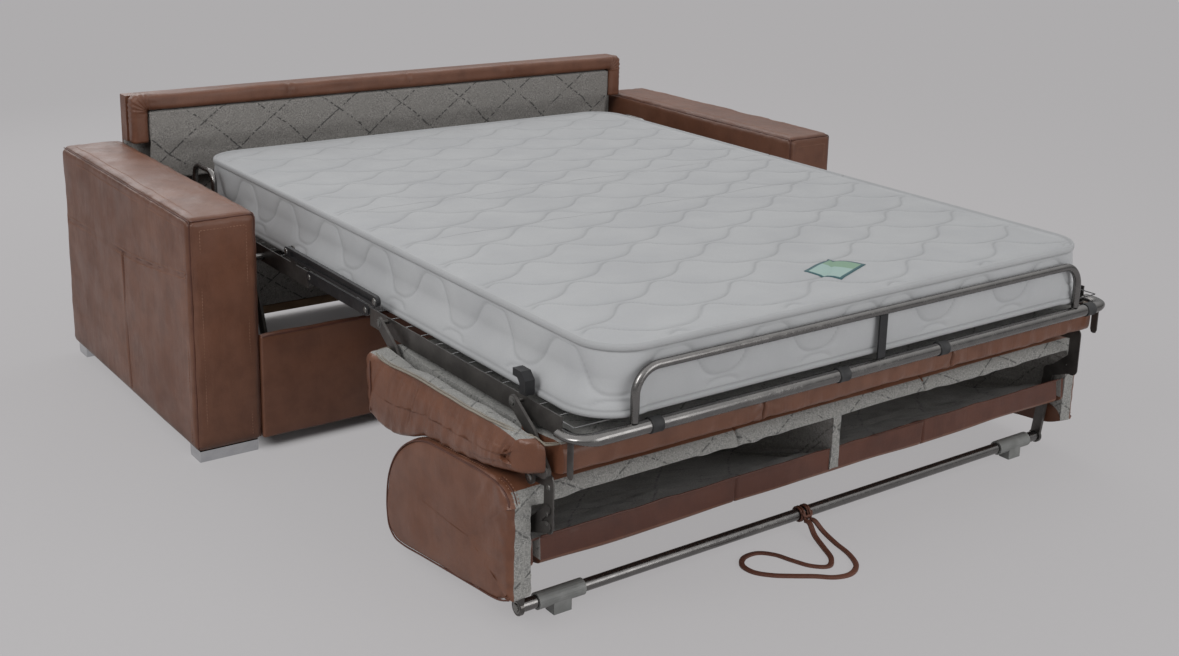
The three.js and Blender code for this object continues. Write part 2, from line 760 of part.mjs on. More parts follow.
function makeHeadFrame() {
  const railFrom = headHinge + sectionInset;
  const railEnd = mattressHead - headRailSetback;
  const earFoot = [stayPivot[0], railTop - stayHalfWidth];
  const ear = sidePlate(barOutline(stayPivot, earFoot, stayHalfWidth), webInner, sheet);
  const pin = pinRadius + pinClearance;
  const tube = liftTubeRadius + pinClearance;
  const holes = [railHole(pin, [headHinge, hingeHeight]), railHole(pin, stayPivot), railHole(tube, liftTop, 16),
    railHole(tube, [liftTop[0] + liftSpread, liftTop[1]], 16)];
  const rail = joined(railWith(railFrom, railEnd, headHinge), ear);
  addPair(groups.head, 'head_rail', cut(rail, ...holes), look.steel);
  makeNet(groups.head, 'head_net', webInner - gap, railFrom, railEnd, netColumns, netRows);

  const hoopX = (mattressHalfWidth + webInner) / 2 - hoopRadius / 2;
  const [back, front] = [railEnd - hoopRadius, railEnd - hoopRadius - hoopLength];
  const corners = [[front, hoopFoot], [front, hoopTop], [back, hoopTop], [back, hoopFoot]];
  const path = roundedPath(corners.map(([y, z]) => new THREE.Vector3(hoopX, y, z)), hoopBend);
  const hoop = sweep(path, circleSection(hoopRadius, 10), new THREE.Vector3(1, 0, 0));
  const cleats = [front, back].map((y) =>
    block([hoopX, webInner - gap], [y - hoopRadius, y + hoopRadius], [hoopFoot, hoopFoot + hoopRadius]));
  addPair(groups.head, 'head_hoop', joined(hoop, ...cleats), look.steel);
}

function makeMiddleFrame() {
  const plateInner = railOuter + gap;
  const plateOuter = plateInner + middlePlate;
  const webStart = webInner - middleWebWidth;
  const hinges = [[headHinge, hingeHeight], [footHinge, hingeHeight]];
  const plate = sidePlate(barOutline(hinges[1], hinges[0], knuckleRadius), plateInner, middlePlate);
  const [from, to] = [footHinge + sectionInset, headHinge - sectionInset];
  const webX = [webStart, plateInner + middlePlate / 2];
  const web = block(webX, [from, to], [hingeHeight - middleWebDrop, railTop]);
  const pins = hinges.map((place) => crossRod(pinRadius, webInner, plateOuter - middlePlate / 2, place));
  addPair(groups.middle, 'middle_rail', joined(plate, web, ...pins), look.steel);
  makeNet(groups.middle, 'middle_net', webStart - gap, from, to, netColumns, 1);
}

// Stay levers brace the opened frame on both sides and swing back with the fold.
function makeStayLevers() {
  const tip = [stayPivot[0] - stayLength, stayPivot[1] - stayDip];
  const lever = sidePlate(barOutline(tip, stayPivot, stayHalfWidth), stayInner, stayThickness);
  const grooveY = [tip[0] + stayHalfWidth, stayPivot[0] - 2 * stayHalfWidth];
  const grooveZ = [stayPivot[1] - stayGrooveHeight / 2, stayPivot[1] + stayGrooveHeight / 2];
  const outer = stayInner + stayThickness;
  const groove = block([outer - stayGroove, outer + overrun], grooveY, grooveZ);
  const pin = crossRod(pinRadius, webInner, stayInner + stayThickness / 2, stayPivot);
  addPair(groups.stays, 'stay_lever', joined(cut(lever, groove), pin), look.steel);
}

function makeFootFrame() {
  const tubeEnd = footTubeLine + footTubeReturn;
  const railFrom = tubeEnd + gap;
  const railTo = footHinge - sectionInset;
  const pin = pinRadius + pinClearance;
  const pivots = [[footHinge, hingeHeight], seatPivots.front, seatPivots.rear];
  const holes = pivots.map((place) => railHole(pin, place));
  addPair(groups.foot, 'foot_rail', cut(railWith(railFrom, railTo, footHinge), ...holes), look.steel);
  makeNet(groups.foot, 'foot_net', webInner - gap, mattressFoot + sectionInset, railTo, netColumns, netRows);

  // Bent tube round the foot end, with a bracket under each corner.
  const tubeX = railOuter + sheet;
  const corners = [[-tubeX, tubeEnd], [-tubeX, footTubeLine], [tubeX, footTubeLine], [tubeX, tubeEnd]];
  const path = roundedPath(corners.map(([x, y]) => new THREE.Vector3(x, y, footTubeHeight)), footTubeBend, 6);
  const tube = sweep(path, circleSection(footTubeRadius, 16), new THREE.Vector3(0, 0, 1));
  const bracketY = [footTubeLine + bracketOffset, footTubeLine + bracketOffset + bracketWidth];
  const bracketLow = footTubeHeight - footTubeRadius - bracketDrop;
  const brackets = [-tubeX, tubeX].map((x) =>
    block([x - bracketThickness / 2, x + bracketThickness / 2], bracketY, [bracketLow, footTubeHeight]));
  add(groups.foot, 'foot_tube', joined(tube, ...brackets), look.tube);

  makeGuardRail();
  makeCornerHooks();
}

// Guard rail: an inverted U that stands on the foot tube, with a flat strut in the middle.
function makeGuardRail() {
  const stand = footTubeHeight + footTubeRadius + gap;
  const corners = [[-guardHalfWidth, stand], [-guardHalfWidth, guardTop], [guardHalfWidth, guardTop],
    [guardHalfWidth, stand]].map(([x, z]) => new THREE.Vector3(x, footTubeLine, z));
  const path = roundedPath(corners, guardBend, 6);
  const guard = sweep(path, circleSection(guardRadius, 10), new THREE.Vector3(0, 1, 0));
  add(groups.foot, 'guard_rail', guard, look.tube);
  const strutY = [footTubeLine - strutThickness / 2, footTubeLine + strutThickness / 2];
  const strut = block([-strutWidth / 2, strutWidth / 2], strutY, [stand, guardTop - guardRadius - gap]);
  add(groups.foot, 'guard_strut', strut, look.steel);
}

// Corner hooks stop the mattress from sliding sideways.
function makeCornerHooks() {
  const hookFront = hookBack - hookLength;
  const low = railTop + gap;
  const top = railTop + hookRise;
  const outline = [[hookFront, low], [hookFront + hookPost, low], [hookFront + hookPost, top - hookNeck],
    [hookBack - hookFinger, top - hookFinger], [hookBack, top - hookFinger], [hookBack, top],
    [hookFront + hookFinger, top], [hookFront, top - hookFinger]];
  addPair(groups.foot, 'corner_hook', sidePlate(outline, railOuter - hookWidth, hookWidth), look.rubber);
}

// Links and bars that carry the seat cushion

function makeSeatLinks() {
  for (const [place, top] of Object.entries(seatPivots)) {
    const low = seatCarriers[place];
    const elbow = [(top[0] + low[0]) / 2 - seatLinkBulge, (top[1] + low[1]) / 2 + seatLinkBulge];
    const middle = seatLinkInner + seatLinkThickness / 2;
    const halves = [barOutline(elbow, top, seatLinkHalfWidth), barOutline(low, elbow, seatLinkHalfWidth)];
    const plates = halves.map((outline) => sidePlate(outline, seatLinkInner, seatLinkThickness));
    const pins = [crossRod(pinRadius, webInner, middle, top), crossRod(pinRadius, middle, seatBarOuter, low)];
    addPair(groups.links, `seat_link_${place}`, joined(...plates, ...pins), look.steel);
  }
}

function makeSeatBars() {
  const bar = barOutline(seatCarriers.front, seatCarriers.rear, seatBarHalfHeight);
  const lobe = barOutline(backPivot, [backPivot[0], seatCarriers.front[1]], seatBarHalfHeight);
  const plates = [bar, lobe].map((outline) => sidePlate(outline, seatBarInner, seatBarThickness));
  const holes = [seatCarriers.front, seatCarriers.rear, backPivot].map((place) =>
    crossRod(pinRadius + pinClearance, seatBarInner - overrun, seatBarOuter + overrun, place));
  addPair(groups.seat, 'seat_bar', cut(joined(...plates), ...holes), look.steel);
}

// Seat cushion

// One outline of the seat cushion in a plane across it, drawn in towards its middle by an inset.
function seatLoop(x, inset, lift) {
  // Places from the back end to the front, and depths under the top, as shares of the cushion's depth.
  const outlineShares = [[0.016, 0], [0, 0.025], [0, 0.096], [0.009, 0.166], [0.034, 0.207],
    [0.084, 0.229], [0.183, 0.232], [0.29, 0.202], [0.384, 0.168], [0.508, 0.156], [0.632, 0.142],
    [0.771, 0.118], [0.895, 0.1], [0.972, 0.091], [0.996, 0.077], [1, 0.042], [0.996, 0.012], [0.98, 0],
    [0.771, 0], [0.508, 0], [0.232, 0]];
  const [centreShare, depthShare] = [0.5, 0.09];
  const centre = [seatBackEnd - seatDepth * centreShare, seatTop - seatDepth * depthShare];
  return outlineShares.map(([along, under]) => {
    const y = seatBackEnd - seatDepth * along;
    const z = seatTop - seatDepth * under + (under > depthShare ? lift : 0);
    const toMiddle = new THREE.Vector2(centre[0] - y, centre[1] - z);
    const pull = Math.min(inset / toMiddle.length(), 1);
    return new THREE.Vector3(x, y + toMiddle.x * pull, z + toMiddle.y * pull);
  });
}

// Loops from the left end to the right, mirrored from the stations of the right half.
function loopsAcross(stations, loopAt) {
  const right = stations.filter(([x]) => x > 0).map(([x, ...rest]) => loopAt(x, ...rest));
  const left = [...right].reverse().map((loop) => loop.map((p) => new THREE.Vector3(-p.x, p.y, p.z)));
  return [...left, loopAt(0, 0, 0), ...right];
}

// Where a cushion's rounded side turns: places before its end, and how far the outline is drawn in
// there, as shares of the rounding.
function sideStations(round) {
  const turnShares = [[2, 0.04], [1, 0.16], [0.33, 0.5], [0, 1]];
  return turnShares.map(([before, inward]) => [cushionHalfWidth - round * before, round * inward, 0]);
}

function makeSeatCushion() {
  const seam = cushionHalfWidth / 3;
  const stations = [[seam - seatChannel, 0, 0], [seam, 0, seatChannelDepth], [seam + seatChannel, 0, 0],
    [2 * seam, 0, 0], ...sideStations(seatSideRound)];
  const whole = loft(loopsAcross(stations, seatLoop));
  const lane = [slotInner, seatBarOuter + gap];
  const floor = seatCarriers.front[1] - seatBarHalfHeight - gap;
  const [front, back] = [seatBackEnd - seatDepth - overrun, seatBackEnd + overrun];
  const under = seatTop - seatDepth;
  const over = seatTop + overrun;
  const tools = [lane, [-lane[1], -lane[0]]].flatMap((x) =>
    [block(x, [front, back], [floor, over]), block(x, [front, slotThroughTo], [under, over])]);
  add(groups.seat, 'seat_cushion', cut(whole, ...tools), look.leather);
}

// Back cushion: a hollow shell with two compartments that open to the front

function backOutline() {
  // Shares of the depth from the back end to the open side, and of the height from the bottom.
  const lowShares = [[0.996, 0.225], [0.922, 0.171], [0.73, 0.124], [0.524, 0.08], [0.318, 0.036],
    [0.146, 0], [0.07, 0.007], [0.019, 0.073], [0.002, 0.189]];
  const [arcDepthShare, arcHeightShare, arcRiseShare] = [0.462, 0.298, 0.702];
  const highShares = [[0.709, 0.989], [0.936, 0.978], [0.981, 0.945], [0.998, 0.88], [1, 0.553]];
  const arcSteps = 6;
  const arcShares = Array.from({ length: arcSteps + 1 }, (_, k) => {
    const turn = (Math.PI / 2) * (k / arcSteps);
    return [arcDepthShare * (1 - Math.cos(turn)), arcHeightShare + arcRiseShare * Math.sin(turn)];
  });
  return [...lowShares, ...arcShares, ...highShares].map(([along, up]) =>
    [backEnd - backDepth * along, backBottom + backHeight * up]);
}

function backLoop(x, inset) {
  const middle = new THREE.Vector2(backEnd - backDepth / 2, backBottom + backHeight / 2);
  return backOutline().map(([y, z]) => {
    const toMiddle = middle.clone().sub(new THREE.Vector2(y, z));
    const pull = inset / toMiddle.length();
    return new THREE.Vector3(x, y + toMiddle.x * pull, z + toMiddle.y * pull);
  });
}

function makeBackCushion() {
  const seam = cushionHalfWidth / 3;
  const stations = [[seam - backChannel, 0], [seam, backChannelDepth], [seam + backChannel, 0],
    [2 * seam, 0], ...sideStations(backSideRound)];
  const whole = loft(loopsAcross(stations, backLoop));
  const open = backEnd - backDepth;
  const walls = drawnIn(backOutline(), backWall).filter(([y]) => y > open + 2 * backWall);
  const mouth = open - backWall;
  const cavity = [...walls, [mouth, walls[walls.length - 1][1]], [mouth, walls[0][1]]];
  const room = cushionHalfWidth - backSideWall - dividerThickness / 2;
  const notch = [slotInner, shinOuter + laneGap];
  const starts = [dividerThickness / 2, backSideWall - cushionHalfWidth];
  const tools = starts.map((x) => sidePlate(cavity, x, room));
  for (const x of [notch, [-notch[1], -notch[0]]]) {
    tools.push(block(x, [open - backWall, legNotchTo], [0, legNotchTop]));
  }
  add(groups.back, 'back_cushion', cut(whole, ...tools), look.leather);
}

// Legs, floor bar and pads

function makeLegs() {
  const [top, bottom] = [[legPlateY, legPlateTop], [legPlateY, legPlateBottom]];
  const plates = [barOutline(bottom, top, legPlateHalfWidth), barOutline(top, backPivot, seatBarHalfHeight)];
  const pin = crossRod(pinRadius, legPlateInner, seatBarOuter, backPivot);
  const flat = plates.map((outline) => sidePlate(outline, legPlateInner, sheet));
  addPair(groups.back, 'leg_plate', joined(...flat, pin), look.steel);

  const stubs = [barOutline(bottom, knee, linkHalfWidth), barOutline([legPlateY, bowTop], knee, bowHalfWidth)];
  const shin = sidePlate(barOutline(barLine, knee, shinHalfWidth), legInner, shinOuter - legInner);
  const hub = crossRod(hubRadius, legInner, shinOuter, barLine, 20);
  const seat = crossRod(kneeRadius, legInner, cushionHalfWidth - backSideWall - gap, knee, 20);
  const leg = joined(...stubs.map((outline) => sidePlate(outline, legInner, sheet)), shin, hub, seat);
  addPair(groups.back, 'leg', leg, look.steel);
  const bar = crossRod(barRadius, gap - legInner, legInner - gap, barLine, 20);
  add(groups.back, 'floor_bar', bar, look.tube);

  const bore = barRadius + gap;
  const sleeveX = [padCentre - padSleeveLength / 2, padCentre + padSleeveLength / 2];
  const sleeve = crossRod(bore + padSleeveWall, ...sleeveX, barLine, 20);
  const footX = [padCentre - padWidth / 2, padCentre + padWidth / 2];
  const foot = block(footX, [barLine[0] - padLength / 2, barLine[0] + padLength / 2], [0, barZ]);
  const hole = crossRod(bore, sleeveX[0] - overrun, sleeveX[1] + overrun, barLine, 20);
  addPair(groups.back, 'floor_pad', cut(joined(sleeve, foot), hole), look.plastic);
}

// Pull strap: a lace hitched round the floor bar, which runs out over the floor in a loop and back

function makeStrap() {
  const inner = barRadius + gap;
  const outer = inner + knotWall;
  const knot = ring(inner, outer, knotCentre - knotWidth / 2, knotCentre + knotWidth / 2, barLine);
  add(groups.back, 'strap_knot', knot, look.leather);

  const rest = strapDiameter / 2 + gap;
  const front = barLine[0] - outer - gap;
  const route = [[-22, front, 30], [-22, front - strapDiameter, 30], [-19, -1080, 14],
    [-26, -1130, rest], [-38, -1180, rest], [-62, -1222, rest], [-98, -1240, rest], [-134, -1232, rest],
    [-166, -1206, rest], [-204, -1180, rest], [-238, -1154, rest], [-262, -1122, rest], [-262, -1088, rest],
    [-236, -1064, rest], [-198, -1064, rest], [-172, -1090, rest], [-158, -1130, rest], [-140, -1170, rest],
    [-112, -1190, rest], [-84, -1170, rest], [-64, -1130, rest], [-48, -1082, 14],
    [-39, front - strapDiameter, 30], [-39, front, 30]];
  const curve = new THREE.CatmullRomCurve3(route.map((p) => new THREE.Vector3(...p)), false, 'centripetal');
  const points = curve.getSpacedPoints(52);
  for (const point of points) point.z = Math.max(point.z, rest);
  const strap = sweep(points, circleSection(strapDiameter / 2, 8), new THREE.Vector3(0, 0, 1));
  add(groups.strap, 'pull_strap', strap, look.leather);
}

makeArms();
makeRails();
makeBackrest();
makeMountPlates();
makeLiftArms();
makeMattress();
makeHeadFrame();
makeMiddleFrame();
makeStayLevers();
makeFootFrame();
makeSeatLinks();
makeSeatBars();
makeSeatCushion();
makeBackCushion();
makeLegs();
makeStrap();

sofa.position.y = -(footTubeLine - footTubeRadius + sofaDepth) / 2;

export default sofa;
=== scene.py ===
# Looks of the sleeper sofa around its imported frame. Lengths in this script are millimetres in the
# frame of the sofa body (X from the middle, Y from the front of the arms, Z from the floor), and
# every mesh is moved to the row frame, in metres, as it is made.
import json
import math

import bmesh
import bpy
import numpy as np
from mathutils import Matrix, Vector


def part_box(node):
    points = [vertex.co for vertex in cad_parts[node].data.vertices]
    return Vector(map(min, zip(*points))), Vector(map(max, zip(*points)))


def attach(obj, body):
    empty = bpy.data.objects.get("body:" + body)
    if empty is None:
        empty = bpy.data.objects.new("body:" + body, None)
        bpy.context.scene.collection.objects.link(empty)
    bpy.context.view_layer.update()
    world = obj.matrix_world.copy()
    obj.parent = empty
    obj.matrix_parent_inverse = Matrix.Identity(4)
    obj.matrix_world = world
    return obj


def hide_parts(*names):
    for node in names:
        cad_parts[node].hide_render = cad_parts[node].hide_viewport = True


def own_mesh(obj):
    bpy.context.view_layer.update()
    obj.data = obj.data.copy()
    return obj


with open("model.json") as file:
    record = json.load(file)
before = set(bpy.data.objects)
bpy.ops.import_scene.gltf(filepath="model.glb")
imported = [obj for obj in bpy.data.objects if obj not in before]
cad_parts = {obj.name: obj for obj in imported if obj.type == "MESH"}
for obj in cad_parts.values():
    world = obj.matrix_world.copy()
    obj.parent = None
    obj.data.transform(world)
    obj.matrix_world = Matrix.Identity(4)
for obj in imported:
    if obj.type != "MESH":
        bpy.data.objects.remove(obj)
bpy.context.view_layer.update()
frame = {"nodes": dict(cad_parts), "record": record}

ROW_SHIFT = 0.126
SIDES = {"right": 1.0, "left": -1.0}
OUT, FRONT, REAR, UP = (1, 0, 0), (0, -1, 0), (0, 1, 0), (0, 0, 1)

# Sizes that the solids share with this script
ARM_INNER, ARM_OUTER, ARM_TOP, DEPTH, FOOT = 852.0, 1023.0, 605.0, 952.0, 29.0
BACK_FACE, BACK_REAR, BACK_TOP, BEAM_BOTTOM, ROLL = 854.0, 904.0, 745.0, 608.0, 50.0
MATTRESS_HALF, MATTRESS_HEAD, MATTRESS_FOOT = 700.0, 735.0, -1178.0
MATTRESS_BOTTOM, CORNER = 451.0, 100.0
HEAD_HINGE, FOOT_HINGE = -84.0, -370.0
CUSHION_HALF = 840.0
SEAT_TOP, SEAT_BACK, SEAT_DEPTH = 412.0, -502.0, 646.0
BACK_END, BACK_DEPTH, BACK_BOTTOM, BACK_HEIGHT = -596.0, 485.0, 28.0, 275.0
BACK_FRONT = BACK_END - BACK_DEPTH
TUBE_LINE, TUBE_HEIGHT, TUBE_RADIUS = -1190.0, 431.0, 14.0
BAR_LINE, BAR_HEIGHT, BAR_RADIUS = -1020.0, 34.0, 13.0

# Sizes of the covers alone
ARM_ROUND, ARM_MIDDLE, ARM_HALF, ARM_FRONT = 20.0, (ARM_INNER + ARM_OUTER) / 2, 85.5, 1.2
ROLL_SEAMS, COVER_SEAMS, RAIL_SEAMS, CUSHION_SEAM = (19, 397, -377), (-284, 284), (-426, 0, 426), 280
SEAT_LANE, BACK_LANE = (765.8, 789.6), (765.8, 782.2)
EDGE_HEIGHT, TOP_PITCH = 133.5, 84


def linear(color):
    """Colour of three sRGB bytes as Blender's linear colour."""
    values = [c / 255 for c in color]
    return [v / 12.92 if v <= 0.04045 else ((v + 0.055) / 1.055) ** 2.4 for v in values] + [1.0]


class Nodes:
    """A node tree with small helpers. An input takes a number, a colour or another node's output."""

    def __init__(self, tree):
        self.tree = tree

    def fill(self, made, inputs):
        for key, value in inputs.items():
            if isinstance(value, bpy.types.NodeSocket):
                self.tree.links.new(value, made.inputs[key])
            elif value is not None:
                made.inputs[key].default_value = value
        return made

    def node(self, kind, inputs=None, **settings):
        made = self.tree.nodes.new(kind)
        for key, value in settings.items():
            setattr(made, key, value)
        return self.fill(made, inputs or {})

    def math(self, operation, a, b=0.0, c=0.0):
        return self.node("ShaderNodeMath", {0: a, 1: b, 2: c}, operation=operation).outputs[0]

    def blend(self, share, a, b):
        return self.node("ShaderNodeMixShader", {0: share, 1: a, 2: b}).outputs[0]


class Look(Nodes):
    """A material whose patterns follow the object's own coordinates."""

    def __init__(self, name):
        self.material = bpy.data.materials.new(name)
        self.material.use_nodes = True
        super().__init__(self.material.node_tree)
        self.shader = self.tree.nodes["Principled BSDF"]
        self.place = self.node("ShaderNodeTexCoord").outputs["Object"]

    def parts(self):
        return self.node("ShaderNodeSeparateXYZ", {0: self.place}).outputs

    def noise(self, scale, detail=2.0, rough=0.5, stretch=None, distortion=0.0):
        place = self.place
        if stretch:
            place = self.node("ShaderNodeMapping", {"Vector": place, "Scale": stretch}).outputs[0]
        inputs = {"Vector": place, "Scale": scale, "Detail": detail, "Roughness": rough}
        return self.node("ShaderNodeTexNoise", {**inputs, "Distortion": distortion}).outputs["Fac"]

    def span(self, value, low, high, to_low=0.0, to_high=1.0):
        inputs = {"Value": value, "From Min": low, "From Max": high, "To Min": to_low, "To Max": to_high}
        return self.node("ShaderNodeMapRange", inputs, interpolation_type="SMOOTHSTEP").outputs["Result"]

    def mix(self, share, a, b):
        return self.node("ShaderNodeMix", {0: share, 6: a, 7: b}, data_type="RGBA").outputs[2]

    def tint(self, color, other, pattern, low, high, least=0.0, most=1.0):
        """Mix another colour in where a pattern goes from low to high."""
        return self.mix(self.span(pattern, low, high, least, most), color, linear(other))

    def toned(self, color, share, dark):
        """Painted shade: darken by how much shade the mesh gives each point."""
        tone = self.node("ShaderNodeAttribute", attribute_name="tone").outputs["Fac"]
        return self.mix(self.math("MULTIPLY", tone, share), color, linear(dark))

    def bump(self, height, strength, distance, before=None):
        inputs = {"Height": height, "Strength": strength, "Distance": distance, "Normal": before}
        return self.node("ShaderNodeBump", inputs).outputs[0]

    def done(self, color, rough, normal=None, **numbers):
        inputs = {"Base Color": color, "Roughness": rough, "Normal": normal}
        inputs.update({socket.replace("_", " "): value for socket, value in numbers.items()})
        self.fill(self.shader, inputs)
        return self.material


def leather_look(name, base, light, dark, rough=0.42, crumple=0.07):
    """Waxed hide: clouded colour, fine pores, painted shade in the creases of its pebble grain and where the
    mesh marks it, and soft creases that run upright.
    """
    look = Look(name)
    color = look.tint(linear(base), light, look.noise(2.6, 3.0, 0.55, distortion=0.4), 0.3, 0.7)
    color = look.tint(color, dark, look.noise(19.0, 4.0, 0.6), 0.35, 0.75, 0.0, 0.42)
    streak = look.noise(6.0, 3.0, 0.6, stretch=(1.0, 1.0, 3.2))
    color = look.tint(color, light, streak, 0.45, 0.8, 0.0, 0.26)
    pebble = look.node("ShaderNodeTexVoronoi", {"Vector": look.place, "Scale": 330.0},
                       feature="DISTANCE_TO_EDGE").outputs["Distance"]
    # painted shade in the creases of the pebble grain; the same mask raises the grain in the bump
    crease_shade_and_height = look.span(pebble, 0.0, 0.12)
    color = look.tint(color, dark, crease_shade_and_height, 0.0, 1.0, 0.24, 0.0)
    normal = look.bump(look.math("MULTIPLY_ADD", look.noise(700.0, 2.0, 0.6), 0.25, crease_shade_and_height), 0.16, 0.0005)
    normal = look.bump(look.noise(34.0, 3.0, 0.6), 0.1, 0.003, normal)
    drawn = look.noise(36.0, 2.0, 0.5, stretch=(1.0, 1.0, 0.3), distortion=0.5)
    worn = look.span(look.noise(4.0, 2.0, 0.5), 0.36, 0.62, 0.25, 1.0)
    normal = look.bump(look.math("MULTIPLY", drawn, worn), crumple, 0.02, normal)
    roughness = look.span(look.noise(12.0, 4.0, 0.6), 0.3, 0.7, rough - 0.06, rough + 0.08)
    # painted shade where the mesh marks it: seams, rounded edges and the foot
    color = look.toned(color, 0.75, [c * 0.55 for c in dark])
    return look.done(color, roughness, normal, Specular_IOR_Level=0.4)


def lining_look(name, base, light, dark, strength):
    """Heather weave: flecks of two yarns, and a faint stitched lattice of diamonds."""
    look = Look(name)
    across = look.noise(520.0, 2.0, 0.7, stretch=(0.35, 1.0, 1.0))
    along = look.noise(520.0, 2.0, 0.7, stretch=(1.0, 0.35, 0.35))
    weave = look.math("ADD", across, along)
    color = look.tint(linear(dark), light, look.math("MULTIPLY", weave, 0.5), 0.42, 0.58)
    color = look.tint(color, base, look.noise(38.0, 3.0, 0.6), 0.3, 0.7, 0.25, 0.75)
    x, y, z = look.parts()
    height = look.math("MULTIPLY", look.math("ADD", y, z), 6.4)
    lines = []
    for slope in (4.7, -4.7):
        ramp = look.math("MULTIPLY_ADD", x, slope, height)
        wave = look.math("ABSOLUTE", look.math("SUBTRACT", look.math("FRACT", ramp), 0.5))
        lines.append(look.span(wave, 0.0, 0.03, 1.0, 0.0))
    broken = look.span(look.noise(95.0, 1.0, 0.5), 0.45, 0.5)
    line = look.math("MULTIPLY", look.math("MAXIMUM", *lines), broken)
    color = look.mix(look.math("MULTIPLY", line, strength), color, linear((38, 38, 39)))
    return look.done(color, 0.95, look.bump(weave, 0.35, 0.0008), Sheen_Weight=0.15, Specular_IOR_Level=0.25)


def ticking_look(name, base, shade):
    """Fine stretch knit of the mattress cover."""
    look = Look(name)
    rows = look.noise(900.0, 2.0, 0.6, stretch=(1.0, 0.5, 1.0))
    color = look.tint(linear(base), shade, look.noise(7.0, 3.0, 0.5), 0.3, 0.7, 0.0, 0.6)
    color = look.tint(color, [c - 26 for c in shade], rows, 0.35, 0.65, 0.16, 0.0)
    # painted shade in the quilting seams and tape creases that the mesh marks
    color = look.toned(color, 0.3, [c - 42 for c in shade])
    return look.done(color, 0.92, look.bump(rows, 0.25, 0.0005), Sheen_Weight=0.1, Specular_IOR_Level=0.2)


def metal_look(name, base, worn, rough, metallic, grain=0.1):
    """Rolled or plated metal, clouded and a little uneven in its gloss."""
    look = Look(name)
    color = look.tint(linear(base), worn, look.noise(24.0, 4.0, 0.65), 0.35, 0.7, 0.0, 0.7)
    roughness = look.span(look.noise(60.0, 4.0, 0.7), 0.3, 0.7, rough - 0.07, rough + 0.09)
    normal = look.bump(look.noise(420.0, 2.0, 0.6), grain, 0.0003)
    return look.done(color, roughness, normal, Metallic=metallic)


def moulded_look(name, base, rough):
    """Plastic, rubber or thread with a fine speckle."""
    look = Look(name)
    speck = look.noise(650.0, 2.0, 0.6)
    color = look.tint(linear(base), [max(c - 16, 0) for c in base], look.noise(30.0), 0.3, 0.7)
    roughness = look.span(speck, 0.3, 0.7, rough - 0.05, rough + 0.08)
    return look.done(color, roughness, look.bump(speck, 0.2, 0.0004))


def wood_look(name, base, dark):
    """Sawn board with its grain along X."""
    look = Look(name)
    grain = look.noise(34.0, 6.0, 0.65, stretch=(0.16, 1.0, 1.0), distortion=0.6)
    fine = look.noise(260.0, 3.0, 0.6, stretch=(0.1, 1.0, 1.0))
    return look.done(look.tint(linear(base), dark, grain, 0.35, 0.65), 0.7, look.bump(fine, 0.3, 0.0006))


LEATHER = leather_look("leather", (102, 64, 46), (116, 78, 60), (74, 44, 31), 0.41)
LEATHER_SOFT = leather_look("leather_soft", (102, 64, 46), (116, 78, 60), (74, 44, 31), 0.36, 0.22)
LEATHER_DARK = leather_look("leather_welt", (78, 44, 33), (92, 55, 42), (58, 33, 26), 0.5)
LEATHER_LACE = leather_look("leather_lace", (92, 56, 44), (110, 71, 57), (70, 41, 32), 0.55)
PIPING = leather_look("piping", (124, 117, 106), (138, 131, 120), (96, 88, 78), 0.6)
LINING = lining_look("lining", (131, 128, 124), (160, 156, 152), (94, 92, 89), 0.85)
LINING_LIGHT = lining_look("lining_light", (139, 138, 134), (163, 162, 158), (98, 98, 98), 0.7)
# painted light: the cloth inside the openings is coloured lighter than the other linings, standing in for
# light in the shaded hollow
LINING_INSIDE_PAINTED_LIT = lining_look("lining_inside_painted_lit", (154, 150, 146), (176, 173, 169), (116, 113, 110), 0.5)
TICKING = ticking_look("ticking", (174, 175, 176), (165, 166, 168))
TAPE = ticking_look("tape", (165, 166, 167), (158, 159, 160))
STEEL = metal_look("steel", (82, 79, 77), (104, 101, 98), 0.36, 0.7)
STEEL_BLACK = metal_look("steel_black", (40, 40, 42), (54, 54, 55), 0.46, 0.4)
TUBE = metal_look("tube", (112, 110, 109), (124, 122, 120), 0.22, 0.95, 0.02)
WIRE = metal_look("wire", (96, 96, 97), (120, 119, 118), 0.42, 0.8)
RIVET = metal_look("rivet", (120, 119, 117), (142, 140, 136), 0.3, 0.9)
CHROME = metal_look("chrome", (196, 197, 199), (182, 183, 186), 0.14, 1.0, 0.03)
PLASTIC = moulded_look("plastic", (128, 129, 127), 0.5)
RUBBER = moulded_look("rubber", (43, 43, 44), 0.62)
WOOD = wood_look("wood", (132, 106, 78), (104, 80, 56))
THREAD = moulded_look("thread", (150, 112, 92), 0.7)
THREAD_DARK = moulded_look("thread_dark", (62, 36, 28), 0.7)


